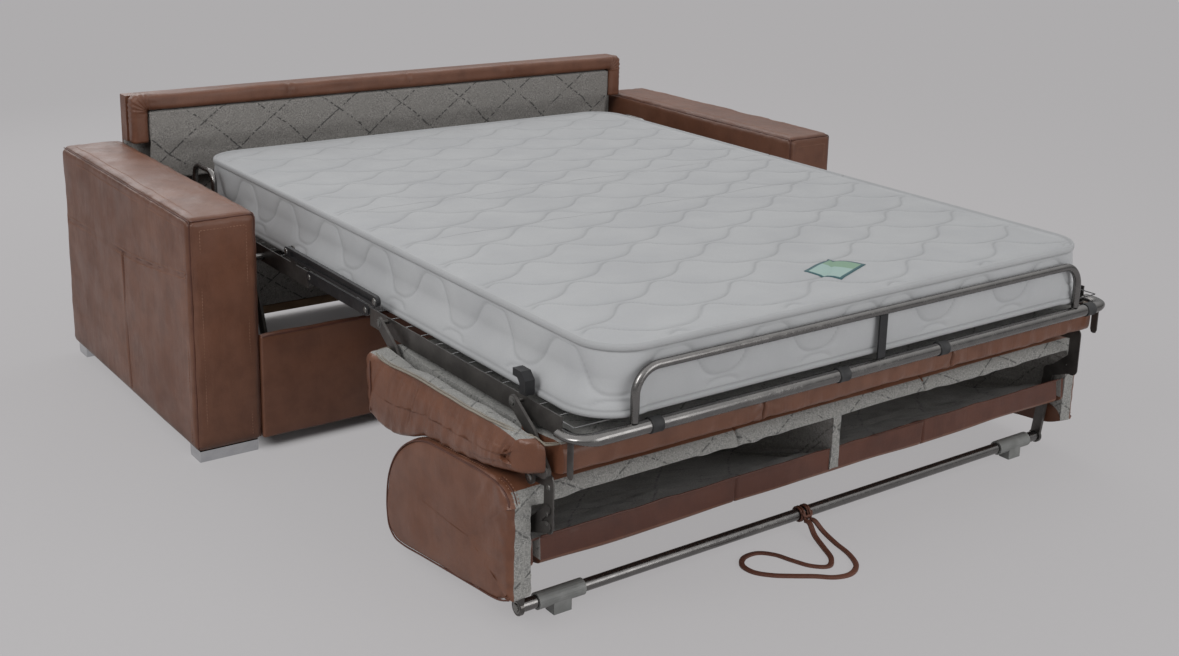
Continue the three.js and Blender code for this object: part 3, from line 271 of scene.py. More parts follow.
def put(name, shape, look, body, slot, stands_for=None, fill=None, crisp=None, side=1.0, marks=None,
        extra=(), tone=None):
    """A piece of (points, faces) that rides on a body. Edges steeper than crisp degrees stay sharp."""
    points = np.array(shape[0], float) * (side * 0.001, 0.001, 0.001)
    points[:, 1] += ROW_SHIFT
    mesh = bpy.data.meshes.new(name)
    mesh.from_pydata(points.tolist(), [], [list(map(int, face)) for face in shape[1]])
    for each in (look, *extra):
        mesh.materials.append(each)
    piece = bpy.data.objects.new(name, mesh)
    bpy.context.scene.collection.objects.link(piece)
    edit = bmesh.new()
    edit.from_mesh(mesh)
    bmesh.ops.recalc_face_normals(edit, faces=edit.faces)
    if crisp:
        for edge in edit.edges:
            edge.smooth = len(edge.link_faces) == 2 and edge.calc_face_angle(0.0) < math.radians(crisp)
    edit.to_mesh(mesh)
    edit.free()
    mesh.polygons.foreach_set("use_smooth", np.full(len(mesh.polygons), True))
    if marks is not None:
        mesh.polygons.foreach_set("material_index", np.asarray(marks, np.int32))
    # painted shade: how far each point is darkened in the leather and ticking looks
    if tone is not None:
        shade = mesh.attributes.new("tone", "FLOAT", "POINT")
        shade.data.foreach_set("value", np.asarray(tone, np.float32))
    mesh.update()
    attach(piece, body)
    if stands_for:
        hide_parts(stands_for)
    return piece


def rows_of(*parts):
    """Rows of coordinates from arrays and single numbers."""
    return np.stack(np.broadcast_arrays(*parts), 1).astype(float)


def at_x(x, outline):
    """An outline in (y, z) at a place across the sofa."""
    return rows_of(x, outline[:, 0], outline[:, 1])


def normed(vectors):
    return vectors / np.linalg.norm(vectors, axis=-1, keepdims=True)


def unit(value):
    return np.clip(value, 0, 1)


def step(value, low, high):
    t = unit((value - low) / (high - low))
    return t * t * (3 - 2 * t)


def bell(distance, width):
    return np.exp(-((distance / width) ** 2))


def waves(points, size, seed, stretch=(1.0, 1.0, 1.0)):
    """A smooth random field of about unit height, with lumps of the given size."""
    count = 28
    random = np.random.default_rng(seed)
    direction = normed(random.normal(size=(count, 3)))
    rate = 2 * math.pi / size * random.uniform(0.6, 1.7, count)
    phase = random.uniform(0, 2 * math.pi, count)
    field = np.cos((points / np.array(stretch)) @ (direction * rate[:, None]).T + phase)
    return field.sum(1) / math.sqrt(count / 2)


def outward(verts, faces, centre, counted=slice(None)):
    """Normals of the points, turned away from a centre."""
    quads = np.array([face for face in faces if len(face) == 4])
    a, b, c, d = (verts[quads[:, column]] for column in range(4))
    total = np.zeros_like(verts)
    for column in range(4):
        np.add.at(total, quads[:, column], np.cross(c - a, d - b))
    normal = total / np.maximum(np.linalg.norm(total, axis=1), 1e-9)[:, None]
    inwards = (normal[counted] * (verts - np.array(centre))[counted]).sum() < 0
    return -normal if inwards else normal


def grid_faces(rows, columns, start=0):
    """Quads of a grid of points."""
    i, j = np.meshgrid(np.arange(rows - 1), np.arange(columns - 1), indexing="ij")
    base = (start + i * columns + j).ravel()
    return np.stack([base, base + columns, base + columns + 1, base + 1], 1)


def padded_box(low, high, radius, grid, relief):
    """A box with rounded edges; relief(points, normals) gives how far each point stands out."""
    low, high = np.array(low, float), np.array(high, float)
    turn = radius * np.tan(np.linspace(math.pi / 4, 0, 5, endpoint=False))
    lines = []
    for a, b in zip(low + radius, high - radius):
        inner = np.linspace(a, b, max(int(round((b - a) / grid)), 1) + 1)
        lines.append(np.concatenate([a - turn, inner, b + turn[::-1]]))
    points, quads, start = [], [], 0
    for axis in range(3):
        u, v = (axis + 1) % 3, (axis + 2) % 3
        for face in (low[axis], high[axis]):
            a, b = np.meshgrid(lines[u], lines[v], indexing="ij")
            place = np.empty((a.size, 3))
            place[:, axis], place[:, u], place[:, v] = face, a.ravel(), b.ravel()
            points.append(place)
            quads.append(grid_faces(*a.shape, start))
            start += a.size
    points = np.concatenate(points)
    _, first, same = np.unique(np.round(points, 3), axis=0, return_index=True, return_inverse=True)
    points = points[first]
    inner = np.clip(points, low + radius, high - radius)
    normal = normed(points - inner)
    points = inner + normal * radius
    return points + normal * relief(points, normal)[:, None], same.ravel()[np.concatenate(quads)]


def skin_rings(rings, closed=False):
    """Points and faces of rings joined one to the next, with faces over both ends."""
    count, rows = len(rings[0]), len(rings)
    i, j = np.meshgrid(np.arange(rows if closed else rows - 1), np.arange(count), indexing="ij")
    i, j = i.ravel(), j.ravel()
    after, next_j = (i + 1) % rows, (j + 1) % count
    quads = np.stack([i * count + j, i * count + next_j, after * count + next_j, after * count + j], 1)
    faces = quads.tolist()
    if not closed:
        faces.append(list(range(count))[::-1])
        faces.append([(rows - 1) * count + k for k in range(count)])
    return np.concatenate(rings), faces


def tube_points(path, section, up=UP, closed=False):
    """A section carried along a path. It may be one outline, or one for each place."""
    path = np.array(path, float)
    tangent = np.roll(path, -1, 0) - np.roll(path, 1, 0) if closed else np.gradient(path, axis=0)
    outlines = np.broadcast_to(section, (len(path), *np.shape(section)[-2:]))
    side = np.cross(tangent[0], up)
    rings = []
    for place, ahead, outline in zip(path, normed(tangent), outlines):
        side = normed(side - ahead * side.dot(ahead))
        rings.append(place + outline[:, :1] * side + outline[:, 1:] * np.cross(ahead, side))
    return skin_rings(rings, closed)


def tubes(paths, radius, sides, up=UP, closed=False):
    return merged([tube_points(path, circle(radius, sides), up, closed) for path in paths])


def circle(radius, sides):
    angle = np.linspace(0, 2 * math.pi, sides, endpoint=False)
    return rows_of(radius * np.cos(angle), radius * np.sin(angle))


def merged(shapes):
    """Several (points, faces) as one."""
    verts, faces, start = [], [], 0
    for points, polygons in shapes:
        verts.append(points)
        faces.extend([[index + start for index in face] for face in polygons])
        start += len(points)
    return np.concatenate(verts), faces


def turned(place, profile, sides, closed=False):
    """A shape turned about X at a place: profile gives (distance along X, radius)."""
    x, y, z = place
    discs = [(x + along, circle(radius, sides)) for along, radius in profile]
    return skin_rings([rows_of(at, y + disc[:, 0], z + disc[:, 1]) for at, disc in discs], closed)


def run_of(points):
    """Distance along a line at each of its points."""
    return np.concatenate([[0], np.cumsum(np.linalg.norm(np.diff(points, axis=0), axis=1))])


def sampled(values, run, places):
    return np.stack([np.interp(places, run, column) for column in np.asarray(values, float).T], 1)


def spaced(points, spacing):
    run = run_of(points)
    return sampled(points, run, np.linspace(0, run[-1], max(int(round(run[-1] / spacing)), 1) + 1))


def rounded_path(corners, radius, steps):
    """A path whose corners are arcs."""
    corners = [np.array(c, float) for c in corners]
    points = [corners[0]]
    for before, here, after in zip(corners, corners[1:], corners[2:]):
        a, b = normed(before - here), normed(after - here)
        half = math.acos(np.clip(a.dot(b), -1, 1)) / 2
        centre = here + normed(a + b) * (radius / math.sin(half))
        start = here + a * (radius / math.tan(half)) - centre
        end = here + b * (radius / math.tan(half)) - centre
        angle = math.pi - 2 * half
        for t in np.arange(steps + 1) / steps:
            turn = (math.sin((1 - t) * angle) * start + math.sin(t * angle) * end) / math.sin(angle)
            points.append(centre + turn)
    points.append(corners[-1])
    return np.array(points)


def smooth_curve(points, count, closed=False):
    """Centripetal Catmull-Rom curve through the points, at equal steps."""
    def part(a, b, low, high):
        return (high - t) / (high - low) * a + (t - low) / (high - low) * b

    points = np.array(points, float)
    ends = (points[-1], points[:2]) if closed else (2 * points[0] - points[1], [2 * points[-1] - points[-2]])
    ring = np.concatenate([[ends[0]], points, ends[1]])
    fine = []
    for p in zip(ring, ring[1:], ring[2:], ring[3:]):
        k = np.cumsum([0.0] + [max(math.dist(a, b), 1e-6) ** 0.5 for a, b in zip(p, p[1:])])
        t = np.linspace(k[1], k[2], 16, endpoint=False)[:, None]
        a = [part(p[i], p[i + 1], k[i], k[i + 1]) for i in range(3)]
        b = [part(a[i], a[i + 1], k[i], k[i + 2]) for i in range(2)]
        fine.extend(part(*b, k[1], k[2]))
    fine.append(points[0] if closed else points[-1])
    run = run_of(fine)
    places = np.linspace(0, run[-1], count + 1)
    return sampled(fine, run, places[:-1] if closed else places)


def stitches(runs):
    """Short threads along lines of (points, the way they face)."""
    lift, pitch, length, radius = 0.2, 8.0, 4.6, 0.75
    ends = [(-0.5, 0.35), (-0.3, 1.0), (0.3, 1.0), (0.5, 0.35)]
    angle = np.linspace(0, 2 * math.pi, 6, endpoint=False)[:, None]
    shapes = []
    for points, facing in runs:
        run = run_of(points)
        places = np.arange(pitch / 2, run[-1], pitch)
        centre = sampled(points, run, places)
        over = sampled(np.broadcast_to(facing, np.shape(points)), run, places)
        ahead = sampled(points, run, places + 1) - centre
        for c, n, d in zip(centre, normed(over), normed(ahead)):
            round_it = np.cos(angle) * np.cross(d, n) + np.sin(angle) * n
            shapes.append(skin_rings([c + n * lift + d * length * along + radius * wide * round_it
                                      for along, wide in ends]))
    return merged(shapes)


def set_camera():
    """The photograph's camera, fitted to the arms, the mattress and the rails."""
    photo_width, focal, shift_down = 1179, 1477, 120
    yaw, pitch, roll = math.radians(35.96), math.radians(14.32), math.radians(1.36)
    data = bpy.data.cameras.new("camera")
    data.sensor_fit, data.sensor_width = "HORIZONTAL", 36.0
    data.lens = focal / photo_width * data.sensor_width
    data.shift_y = -shift_down / photo_width
    data.clip_end = 100
    camera = bpy.data.objects.new("camera", data)
    bpy.context.scene.collection.objects.link(camera)
    level = Matrix.Rotation(-yaw, 4, "Z") @ Matrix.Rotation(math.pi / 2 - pitch, 4, "X")
    place = Matrix.Translation((-2.189, -3.169 + ROW_SHIFT, 1.487))
    camera.matrix_world = place @ level @ Matrix.Rotation(roll, 4, "Z")
    bpy.context.scene.camera = camera


def make_strap():
    """The pull strap: a flat leather lace looped round the bar, lying in a bow on the floor."""
    rest, front = 6.3, -1042.6
    route = [
        (-22, front, 30), (-22, front - 12, 30), (-19, -1080, 14), (-26, -1130, rest), (-38, -1180, rest),
        (-62, -1222, rest), (-98, -1240, rest), (-134, -1232, rest), (-166, -1206, rest),
        (-204, -1180, rest), (-238, -1154, rest), (-262, -1122, rest), (-262, -1088, rest),
        (-236, -1064, rest), (-198, -1064, rest), (-172, -1090, rest), (-158, -1130, rest),
        (-140, -1170, rest), (-112, -1190, rest), (-84, -1170, rest), (-64, -1130, rest),
        (-48, -1082, 14), (-39, front - 12, 30), (-39, front, 30),
    ]
    path = smooth_curve(route, 150)
    path[:, 2] = np.maximum(path[:, 2], rest)
    half, thick, raised = 5.8, 2.1, 3.4
    section = [(-half, -thick), (-half + 1, -thick - 0.5), (0, -thick - 0.5), (half - 1, -thick - 0.5),
               (half, -thick), (half, thick), (half - 1, thick + 0.5), (0.6, thick + 0.7),
               (0, thick + 0.1), (-0.6, thick + 0.7), (-half + 1, thick + 0.5), (-half, thick)]
    section = [(a, b + raised) for a, b in section]
    strap = put("strap_lace", tube_points(path, section), LEATHER_LACE, "strap", "leather", "pull_strap",
                crisp=50)
    knot = make_knot()


def make_knot():
    """The hitch that the strap makes round the floor bar."""
    shapes = []
    angle = np.linspace(0, 2 * math.pi, 28, endpoint=False)
    for x in (-42.0, -36.4, -24.6, -18.6):
        ring = rows_of(x + 1.2 * np.sin(angle + x), BAR_LINE + 15.6 * np.cos(angle),
                       BAR_HEIGHT + 15.6 * np.sin(angle))
        shapes.append(tube_points(ring, circle(2.5, 8), OUT, closed=True))
    over = rounded_path([(-44, -1036, 43), (-40, -1042, 36), (-21, -1042, 36), (-17, -1036, 43)], 5, 5)
    shapes.append(tube_points(over, circle(3.1, 8)))
    for x in (-39, -22):
        fall = rounded_path([(x, -1022, 50), (x, -1037, 45), (x, -1041.5, 27)], 7, 6)
        shapes.append(tube_points(fall, circle(2.9, 8), OUT))
    return put("strap_hitch", merged(shapes), LEATHER_LACE, "back", "leather", "strap_knot")


def set_floor():
    """A pale floor that shines by itself for the camera, apart from the shade under the sofa's body."""
    look = Look("floor")
    rays = look.node("ShaderNodeLightPath").outputs
    seen = look.math("MAXIMUM", rays["Is Camera Ray"], rays["Is Glossy Ray"])
    seen = look.math("MAXIMUM", seen, rays["Is Transmission Ray"])
    color = look.tint(linear((190, 188, 189)), (188, 186, 187), look.noise(60.0, 3.0, 0.6), 0.3, 0.7)
    look.done(color, 0.9, Specular_IOR_Level=0.1)
    glow = look.node("ShaderNodeEmission", {"Color": linear((180, 178, 179)), "Strength": 1.0}).outputs[0]
    body_middle = 0.605
    x, y, _ = look.parts()
    aside = look.span(look.math("ABSOLUTE", x), 0.8, 0.88, 1.0, 0.0)
    behind = look.math("ABSOLUTE", look.math("SUBTRACT", y, body_middle))
    shaded = look.math("MULTIPLY", aside, look.span(behind, 0.44, 0.5, 1.0, 0.0))
    share = look.math("MULTIPLY", look.math("MULTIPLY", seen, 0.78), look.math("SUBTRACT", 1.0, shaded))
    look.fill(look.tree.nodes["Material Output"], {0: look.blend(share, look.shader.outputs[0], glow)})
    reach = 14.0
    mesh = bpy.data.meshes.new("floor")
    mesh.from_pydata([(-reach, -reach, 0), (reach, -reach, 0), (reach, reach, 0), (-reach, reach, 0)], [],
                     [(0, 1, 2, 3)])
    mesh.materials.append(look.material)
    floor = bpy.data.objects.new("floor", mesh)
    bpy.context.scene.collection.objects.link(floor)


def set_light():
    """Even light from the world and four large lamps. What shines mirrors a pale ceiling."""
    world = bpy.data.worlds.new("studio")
    bpy.context.scene.world = world
    world.use_nodes = True
    nodes = Nodes(world.node_tree)
    rays = nodes.node("ShaderNodeLightPath").outputs
    direction = nodes.node("ShaderNodeTexCoord").outputs["Generated"]
    up = nodes.node("ShaderNodeSeparateXYZ", {0: direction}).outputs[2]
    ramp = nodes.node("ShaderNodeMapRange", {0: up, 1: 0.12, 2: 0.72, 3: 0.24, 4: 1.2}).outputs[0]
    plain = nodes.fill(nodes.tree.nodes["Background"], {"Color": (0.9, 0.9, 0.905, 1), "Strength": 0.62})
    gloss = nodes.node("ShaderNodeBackground", {"Color": (0.95, 0.95, 0.95, 1), "Strength": ramp})
    seen = nodes.node("ShaderNodeBackground", {"Color": linear((179, 177, 178)), "Strength": 1.0})
    lit = nodes.blend(rays["Is Glossy Ray"], plain.outputs[0], gloss.outputs[0])
    lit = nodes.blend(rays["Is Camera Ray"], lit, seen.outputs[0])
    nodes.fill(nodes.tree.nodes["World Output"], {0: lit})
    lamps = [
        ("key", (-3.2, -1.2, 2.6), (0.0, -0.2, 0.3), 1.6, 50),
        ("fill", (0.8, -4.2, 1.5), (0.0, 0.0, 0.3), 2.2, 46),
        ("top", (1.4, 1.8, 3.0), (0.0, -0.2, 0.4), 2.0, 20),
        ("rear", (-0.6, 3.8, 2.2), (0.0, 0.4, 0.4), 2.2, 24),
    ]
    for name, place, aim, size, power in lamps:
        data = bpy.data.lights.new(name, "AREA")
        data.shape, data.size, data.energy = "SQUARE", size, power
        lamp = bpy.data.objects.new(name, data)
        bpy.context.scene.collection.objects.link(lamp)
        lamp.location = place
        lamp.rotation_euler = (Vector(aim) - Vector(place)).to_track_quat("-Z", "Y").to_euler()
    bpy.context.scene.view_settings.view_transform = "Standard"


def line_distance(a, b, line):
    """Distance of points (a, b) from a polyline."""
    best = np.full(len(a), 1e9)
    for (a0, b0), (a1, b1) in zip(line, line[1:]):
        da, db = a1 - a0, b1 - b0
        t = unit(((a - a0) * da + (b - b0) * db) / (da * da + db * db))
        best = np.minimum(best, np.hypot(a - a0 - t * da, b - b0 - t * db))
    return best


ARM_SEAM_UP = [(473, 416), (470, 330), (464, 200), (457, 48)]
ARM_SEAM_ACROSS = [(930, 398), (855, 403), (740, 410), (600, 414), (473, 416), (350, 424), (230, 438),
                   (110, 455), (22, 467)]


def arm_shares(x, y):
    """Place on an arm's top as shares of its half width and half depth."""
    return (x - ARM_MIDDLE) / ARM_HALF, (y - DEPTH / 2) / (DEPTH / 2)


def arm_relief(points, normal):
    """Crown, seams and soft puckers of one arm, in the right arm's own coordinates."""
    x, y, z = points.T
    nx, ny, nz = normal.T
    across, along = arm_shares(x, y)
    up, front, outer = (unit(facing) ** 4 for facing in (nz, -ny, nx))
    above = np.where(nz < -0.1, 0, 1)
    out = up * 5.0 * unit(1 - across ** 2) * unit(1 - along ** 4)
    out += front * 2.0 * unit(1 - across ** 2) * unit(1 - ((z - 317) / 288) ** 4) - front * 1.0
    out += outer * (1.2 * waves(points, 260, 3) - 0.6)
    near_edge = 0
    for a, b in ((nx, nz), (ny, nz), (nx, ny)):
        out -= 2.6 * step(np.abs(a * b), 0.12, 0.3) * bell(14.1 * (np.abs(a) - np.abs(b)), 1.7) * above
        near_edge = np.maximum(near_edge, np.abs(a * b))
    seam = np.minimum(line_distance(y, z, ARM_SEAM_UP), line_distance(y, z, ARM_SEAM_ACROSS))
    out += outer * (-2.2 * bell(seam, 3.2) + 0.9 * bell(seam - 12, 7))
    out += 0.5 * step(near_edge, 0.05, 0.35) * waves(points, 34, 7, (1, 1, 1.6)) * above
    out += up * 0.7 * waves(points, 120, 11)
    return out + front * 0.5 * waves(points, 70, 13, (1, 1, 2.2))


def make_arm(key):
    def add(name, shape, look, **more):
        put(name + "_" + key, shape, look, "sofa_body", "leather", side=SIDES[key], **more)

    verts, quads = padded_box((ARM_INNER, ARM_FRONT, FOOT), (ARM_OUTER, DEPTH - 0.5, ARM_TOP), ARM_ROUND, 9,
                              arm_relief)
    x, y, z = verts.T
    to_outer, to_inner, to_top = ARM_OUTER - x, x - ARM_INNER, ARM_TOP - z
    # painted shade: darker along the upright seam of the outer side, along the seams of the rounded edges,
    # and towards the floor
    tone = 0.3 * bell(line_distance(y, z, ARM_SEAM_UP), 6) * (to_outer < 8)
    for a, b in ((to_outer, to_top), (y, to_top), (to_outer, y), (to_inner, y), (to_inner, to_top)):
        tone = np.maximum(tone, 0.3 * bell(np.hypot(a, b) - 9, 6))
    tone = np.maximum(tone, 0.5 * (1 - step(z, FOOT, FOOT + 46)))
    add("arm_cover", (verts, quads), LEATHER, stands_for="arm_" + key, fill=0.9, tone=tone)

    # welts in the seams of the edges, and in the seams of the outer side
    turn, sink = ARM_ROUND * (1 - math.sqrt(0.5)), 1.1
    inner, outer, top = ARM_INNER + turn, ARM_OUTER - turn, ARM_TOP - turn + 0.4 - sink
    near, far = ARM_FRONT + turn + sink, DEPTH - 0.5 - turn
    paths = [spaced(rounded_path([(x, near, FOOT + 8), (x, near, top), (x, far, top)], 6, 6), 6)
             for x in (outer - sink, inner + sink)]
    paths.append(spaced([(inner + 4, near, top), (outer - 4, near, top)], 6))
    for seam, sunk, count in ((ARM_SEAM_UP, 1.6, 50), (ARM_SEAM_ACROSS, 3.1, 110)):
        paths.append(smooth_curve([(ARM_OUTER - sunk, y, z) for y, z in seam], count))
    add("arm_welt", tubes(paths, 1.7, 6, (0.3, 0.2, 0.9)), LEATHER_DARK)

    # rows of stitches on both sides of the seams
    row = ARM_ROUND + 9
    side, face = ARM_OUTER - 0.4, ARM_FRONT + 0.6
    low, high = FOOT + 20, ARM_TOP - 30
    runs = [(spaced(ends, 12), facing) for ends, facing in (
        ([(side, 31, low), (side, 31, high)], OUT),
        ([(ARM_OUTER - row, face, low), (ARM_OUTER - row, face, high)], FRONT),
        ([(ARM_INNER + row, face, low), (ARM_INNER + row, face, high)], FRONT),
        ([(side, 34, ARM_TOP - row), (side, far - 26, ARM_TOP - row)], OUT),
        ([(ARM_INNER + 30, face, ARM_TOP - row), (ARM_OUTER - 30, face, ARM_TOP - row)], FRONT))]
    for seam in (ARM_SEAM_UP, ARM_SEAM_ACROSS):
        for away in (-8.0, 8.0):
            line = smooth_curve([(ARM_OUTER + 0.2, y, z) for y, z in seam], 60)
            ahead = normed(np.gradient(line, axis=0))
            line[:, 1] += away * ahead[:, 2]
            line[:, 2] -= away * ahead[:, 1]
            runs.append((line, OUT))
    add("arm_stitches", stitches(runs), THREAD)

    # stitches on the crowned top, laid on its height
    runs = []
    for x in (ARM_OUTER - row, ARM_INNER + row):
        path = spaced([(x, 40, ARM_TOP), (x, far - 26, ARM_TOP)], 14)
        across, along = arm_shares(x, path[:, 1])
        path[:, 2] += 5 * (1 - across ** 2) * (1 - along ** 4) + 0.7 * waves(path, 120, 11)
        runs.append((path, UP))
    add("arm_top_stitches", stitches(runs), THREAD)


def make_front_rail():
    def relief(points, normal):
        out = 1.2 * unit(-normal[:, 1]) * waves(points, 150, 21, (1.6, 1, 1)) - 0.8
        out += unit(normal[:, 2]) * 0.8 * waves(points, 90, 22, (1.8, 1, 1))
        return out - sum(1.6 * bell(points[:, 0] - seam, 3.0) for seam in RAIL_SEAMS)

    put("front_rail_cover", padded_box((-854.5, 2.4, 30), (854.5, 25.6, 295), 8, 12, relief), LEATHER,
        "sofa_body", "leather", "front_rail", fill=0.9)
    put("front_rail_welt", tubes([spaced([(-849, 4.6, 292.4), (849, 4.6, 292.4)], 20)], 3, 8), LEATHER_DARK,
        "sofa_body", "leather")


def roll_section():
    """Square with rounded edges, across (0 inside to ROLL outside) and in depth."""
    radius, half, count, points = 16.0, ROLL / 2, 5, []
    for across, deep, start in ((ROLL - radius, radius - half, -90), (ROLL - radius, half - radius, 0),
                                (radius, half - radius, 90), (radius, radius - half, 180)):
        for k in range(count + 1):
            angle = math.radians(start + 90 * k / count)
            points.append((across + radius * math.cos(angle), deep + radius * math.sin(angle)))
    fine = []
    for a, b in zip(points, points[1:] + points[:1]):
        pieces = max(int(math.dist(a, b) / 5), 1)
        fine += [np.array(a) + np.subtract(b, a) * k / pieces for k in range(pieces)]
    return np.array(fine)


def make_back_roll():
    section = roll_section()
    inner_x, inner_z = ARM_INNER - 0.3 - ROLL, BACK_TOP - ROLL
    middle = (BACK_FACE + BACK_REAR) / 2
    rings, corners = [], []

    def ring(pivot, direction, reach, turn):
        share = np.maximum(section[:, 0], 0.6) / ROLL * reach
        place = np.array(pivot) + np.outer(share, direction)
        rings.append(rows_of(place[:, 0], middle + section[:, 1], place[:, 1]))
        corners.append(turn)

    def upright(side, heights):
        for z in heights:
            ring((side * inner_x, z), (side, 0), ROLL, max(0, 1 - (inner_z - z) / 60))

    def corner(side, angles):
        for angle in np.radians(angles):
            cosine, sine = abs(math.cos(angle)), abs(math.sin(angle))
            reach = ROLL * min(1 / max(cosine, sine), 1 / (cosine ** 5 + sine ** 5) ** 0.2)
            ring((side * inner_x, inner_z), (side * math.cos(angle), math.sin(angle)), reach, 1.0)

    upright(1, np.linspace(BEAM_BOTTOM, inner_z, 15)[:-1])
    corner(1, np.linspace(0, 90, 23))
    for x in np.linspace(inner_x, -inner_x, 190)[1:-1]:
        ring((x, inner_z), (0, 1), ROLL, max(0, 1 - (inner_x - abs(x)) / 60))
    corner(-1, np.linspace(90, 0, 23))
    upright(-1, np.linspace(inner_z, BEAM_BOTTOM, 15)[1:])
    verts, faces = skin_rings(rings)
    normal = outward(verts, faces, (0, middle, 640))
    x, y, z = verts.T
    top = step(z, 700, 725)
    out = 1.5 * top * waves(verts, 130, 31, (1.8, 1, 1)) - 1.4
    for seam in ROLL_SEAMS:
        gap = np.abs(x - seam)
        out -= top * (3.4 * bell(gap, 3.2) - 1.4 * bell(gap - 14, 9))
        out += top * 0.8 * bell(gap, 36) * np.sin(np.arctan2(z - 720, y - 879) * 9)
    turn = np.repeat(corners, len(section))
    out += turn * 1.3 * np.sin(np.arctan2(z - inner_z, np.abs(x) - inner_x) * 22)
    out += 0.6 * (1 - step(z, 600, 640)) * waves(verts, 30, 33)
    put("back_roll_cover", (verts + normal * out[:, None], faces), LEATHER, "sofa_body", "leather",
        "back_roll", fill=0.85)

    angle = np.linspace(math.radians(-55), math.radians(235), 30)
    cosine, sine = np.cos(angle), np.sin(angle)
    put("back_roll_stitches", stitches([
        (rows_of(seam + away, middle - 23.4 * cosine, 720 + 23.4 * sine), rows_of(0, -cosine, sine))
        for seam in ROLL_SEAMS for away in (-7, 7)]), THREAD_DARK, "sofa_body", "leather")


def make_back():
    def panel_relief(points, normal):
        face = unit(-normal[:, 1]) ** 2
        out = -face * 1.6 - sum(face * 2.6 * bell(points[:, 0] - seam, 3.4) for seam in ROLL_SEAMS)
        return out + face * 0.8 * waves(points, 90, 41, (1.6, 1, 1)) - 0.3

    def lower_relief(points, normal):
        x, _, z = points.T
        drum = unit(1 - (x / 850) ** 6) * unit(1 - ((z - 326) / 281) ** 6)
        return unit(-normal[:, 1]) ** 2 * (0.7 * waves(points, 200, 45) - 1.2 * drum) - 0.2

    def cover_relief(points, normal):
        x, _, z = points.T
        out = 0.8 * waves(points, 220, 47) - 0.4 - 1.2 * bell(z - 606, 3.4)
        return unit(normal[:, 1]) ** 2 * (out - sum(1.4 * bell(x - seam, 3.4) for seam in COVER_SEAMS))

    make_back_roll()
    put("back_panel_cover", padded_box((-801, 863, 609), (801, 903.6, 694), 8, 11, panel_relief), LINING,
        "sofa_body", "lining", "back_panel", fill=0.8)

    # the lining cloth, one sheet over the panel and down behind the mattress
    xs = np.linspace(-799.5, 799.5, 240)
    rings = []
    for z in np.linspace(692, 494, 34):
        loose = (692 - z) / 198
        place = rows_of(xs, 869.0, z)
        y = 862.2 + 9.0 * step(-z, -616, -566) + loose * (1.1 * np.sin(xs / 53 + 0.4))
        y += loose * 1.0 * waves(place, 150, 43, (1, 1, 2)) + 0.5 * waves(place, 46, 44)
        rings.append(np.concatenate([rows_of(xs, y, z), rows_of(xs, y + 1.4, z)[::-1]]))
    flap = put("back_flap", skin_rings(rings), LINING, "sofa_body", "lining")

    put("back_lining", padded_box((-851, 920.3, 46), (851, 945.4, 607), 4, 16, lower_relief), LINING,
        "sofa_body", "lining", "back_lower_panel")
    put("back_cover_leather", padded_box((-851.4, 946.2, 29.4), (851.4, 952, 736.6), 2.6, 9, cover_relief),
        LEATHER, "sofa_body", "leather", "back_cover")
    paths = [spaced([(x, 951.2, 34), (x, 951.2, 733)], 12) for x in COVER_SEAMS]
    paths.append(spaced([(-848, 951.2, 606), (848, 951.2, 606)], 12))
    put("back_cover_welt", tubes(paths, 1.5, 6, REAR), LEATHER_DARK, "sofa_body", "leather")
    runs = [(path + np.array(shift), REAR)
            for path, way in zip(paths, ((8, 0), (8, 0), (0, 8)))
            for shift in ((-way[0], 0.9, -way[1]), (way[0], 0.9, way[1]))]
    put("back_cover_stitches", stitches(runs), THREAD, "sofa_body", "leather")


def nearest_line(u, v, pitch, height_of):
    """Distance of points from a family of lines along u; height_of(n) gives a line's v and its slope."""
    best = np.full(u.shape, 1e9)
    for n in range(int(np.floor(v.min() / pitch)) - 2, int(np.ceil(v.max() / pitch)) + 3):
        height, slope = height_of(n)
        best = np.minimum(best, np.abs(v - n * pitch - height) / np.hypot(1, slope))
    return best


def side_seams(u, v):
    """Distance from wavy lines along u, each the mirror of its neighbour."""
    pitch, swing, length, blunt = 88, 40, 246, 1.5
    rate = 2 * math.pi / length
    wave = np.tanh(blunt * np.sin(rate * u))
    slope = swing * rate * blunt / math.tanh(blunt) * (1 - wave ** 2) * np.cos(rate * u)
    return nearest_line(u, v, pitch, lambda n: ((-1) ** n * swing * wave / math.tanh(blunt), slope))


def top_seams(u, v):
    """Distance from staggered waves along u that rise quickly and fall slowly."""
    swing, length, lean = 36, 290, 0.62

    def height_of(n):
        turn = 2 * math.pi / length * u + math.pi * (n % 2)
        inner = turn - lean * np.cos(turn)
        return swing * np.sin(inner), swing * 2 * math.pi / length * np.cos(inner) * (1 + lean * np.sin(turn))

    return nearest_line(u, v, TOP_PITCH, height_of)


def quilt(distance, seam, pillow, depth):
    return -depth * (0.5 * bell(distance, seam) + 0.5 * bell(distance, pillow))


def mattress_top(x, y):
    """Height of the quilted top at any place of the whole mattress."""
    middle, half = (MATTRESS_HEAD + MATTRESS_FOOT) / 2, (MATTRESS_HEAD - MATTRESS_FOOT) / 2
    over_x = np.maximum(np.abs(x) - (MATTRESS_HALF - CORNER), 0)
    over_y = np.maximum(np.abs(y - middle) - (half - CORNER), 0)
    in_corner = (over_x > 0) & (over_y > 0)
    edge = CORNER - np.where(in_corner, np.hypot(over_x, over_y), np.maximum(over_x, over_y))
    place = rows_of(x, y, 0.0)
    soft = 0.8 * waves(place, 380, 51) + 0.35 * waves(place, 60, 52, (2.2, 1, 1))
    relief = step(edge, 12, 34) * (quilt(top_seams(x, y), 4.2, 19, 5.6) + soft)
    return MATTRESS_BOTTOM + EDGE_HEIGHT + 7.5 * step(edge, 8, 66) + relief


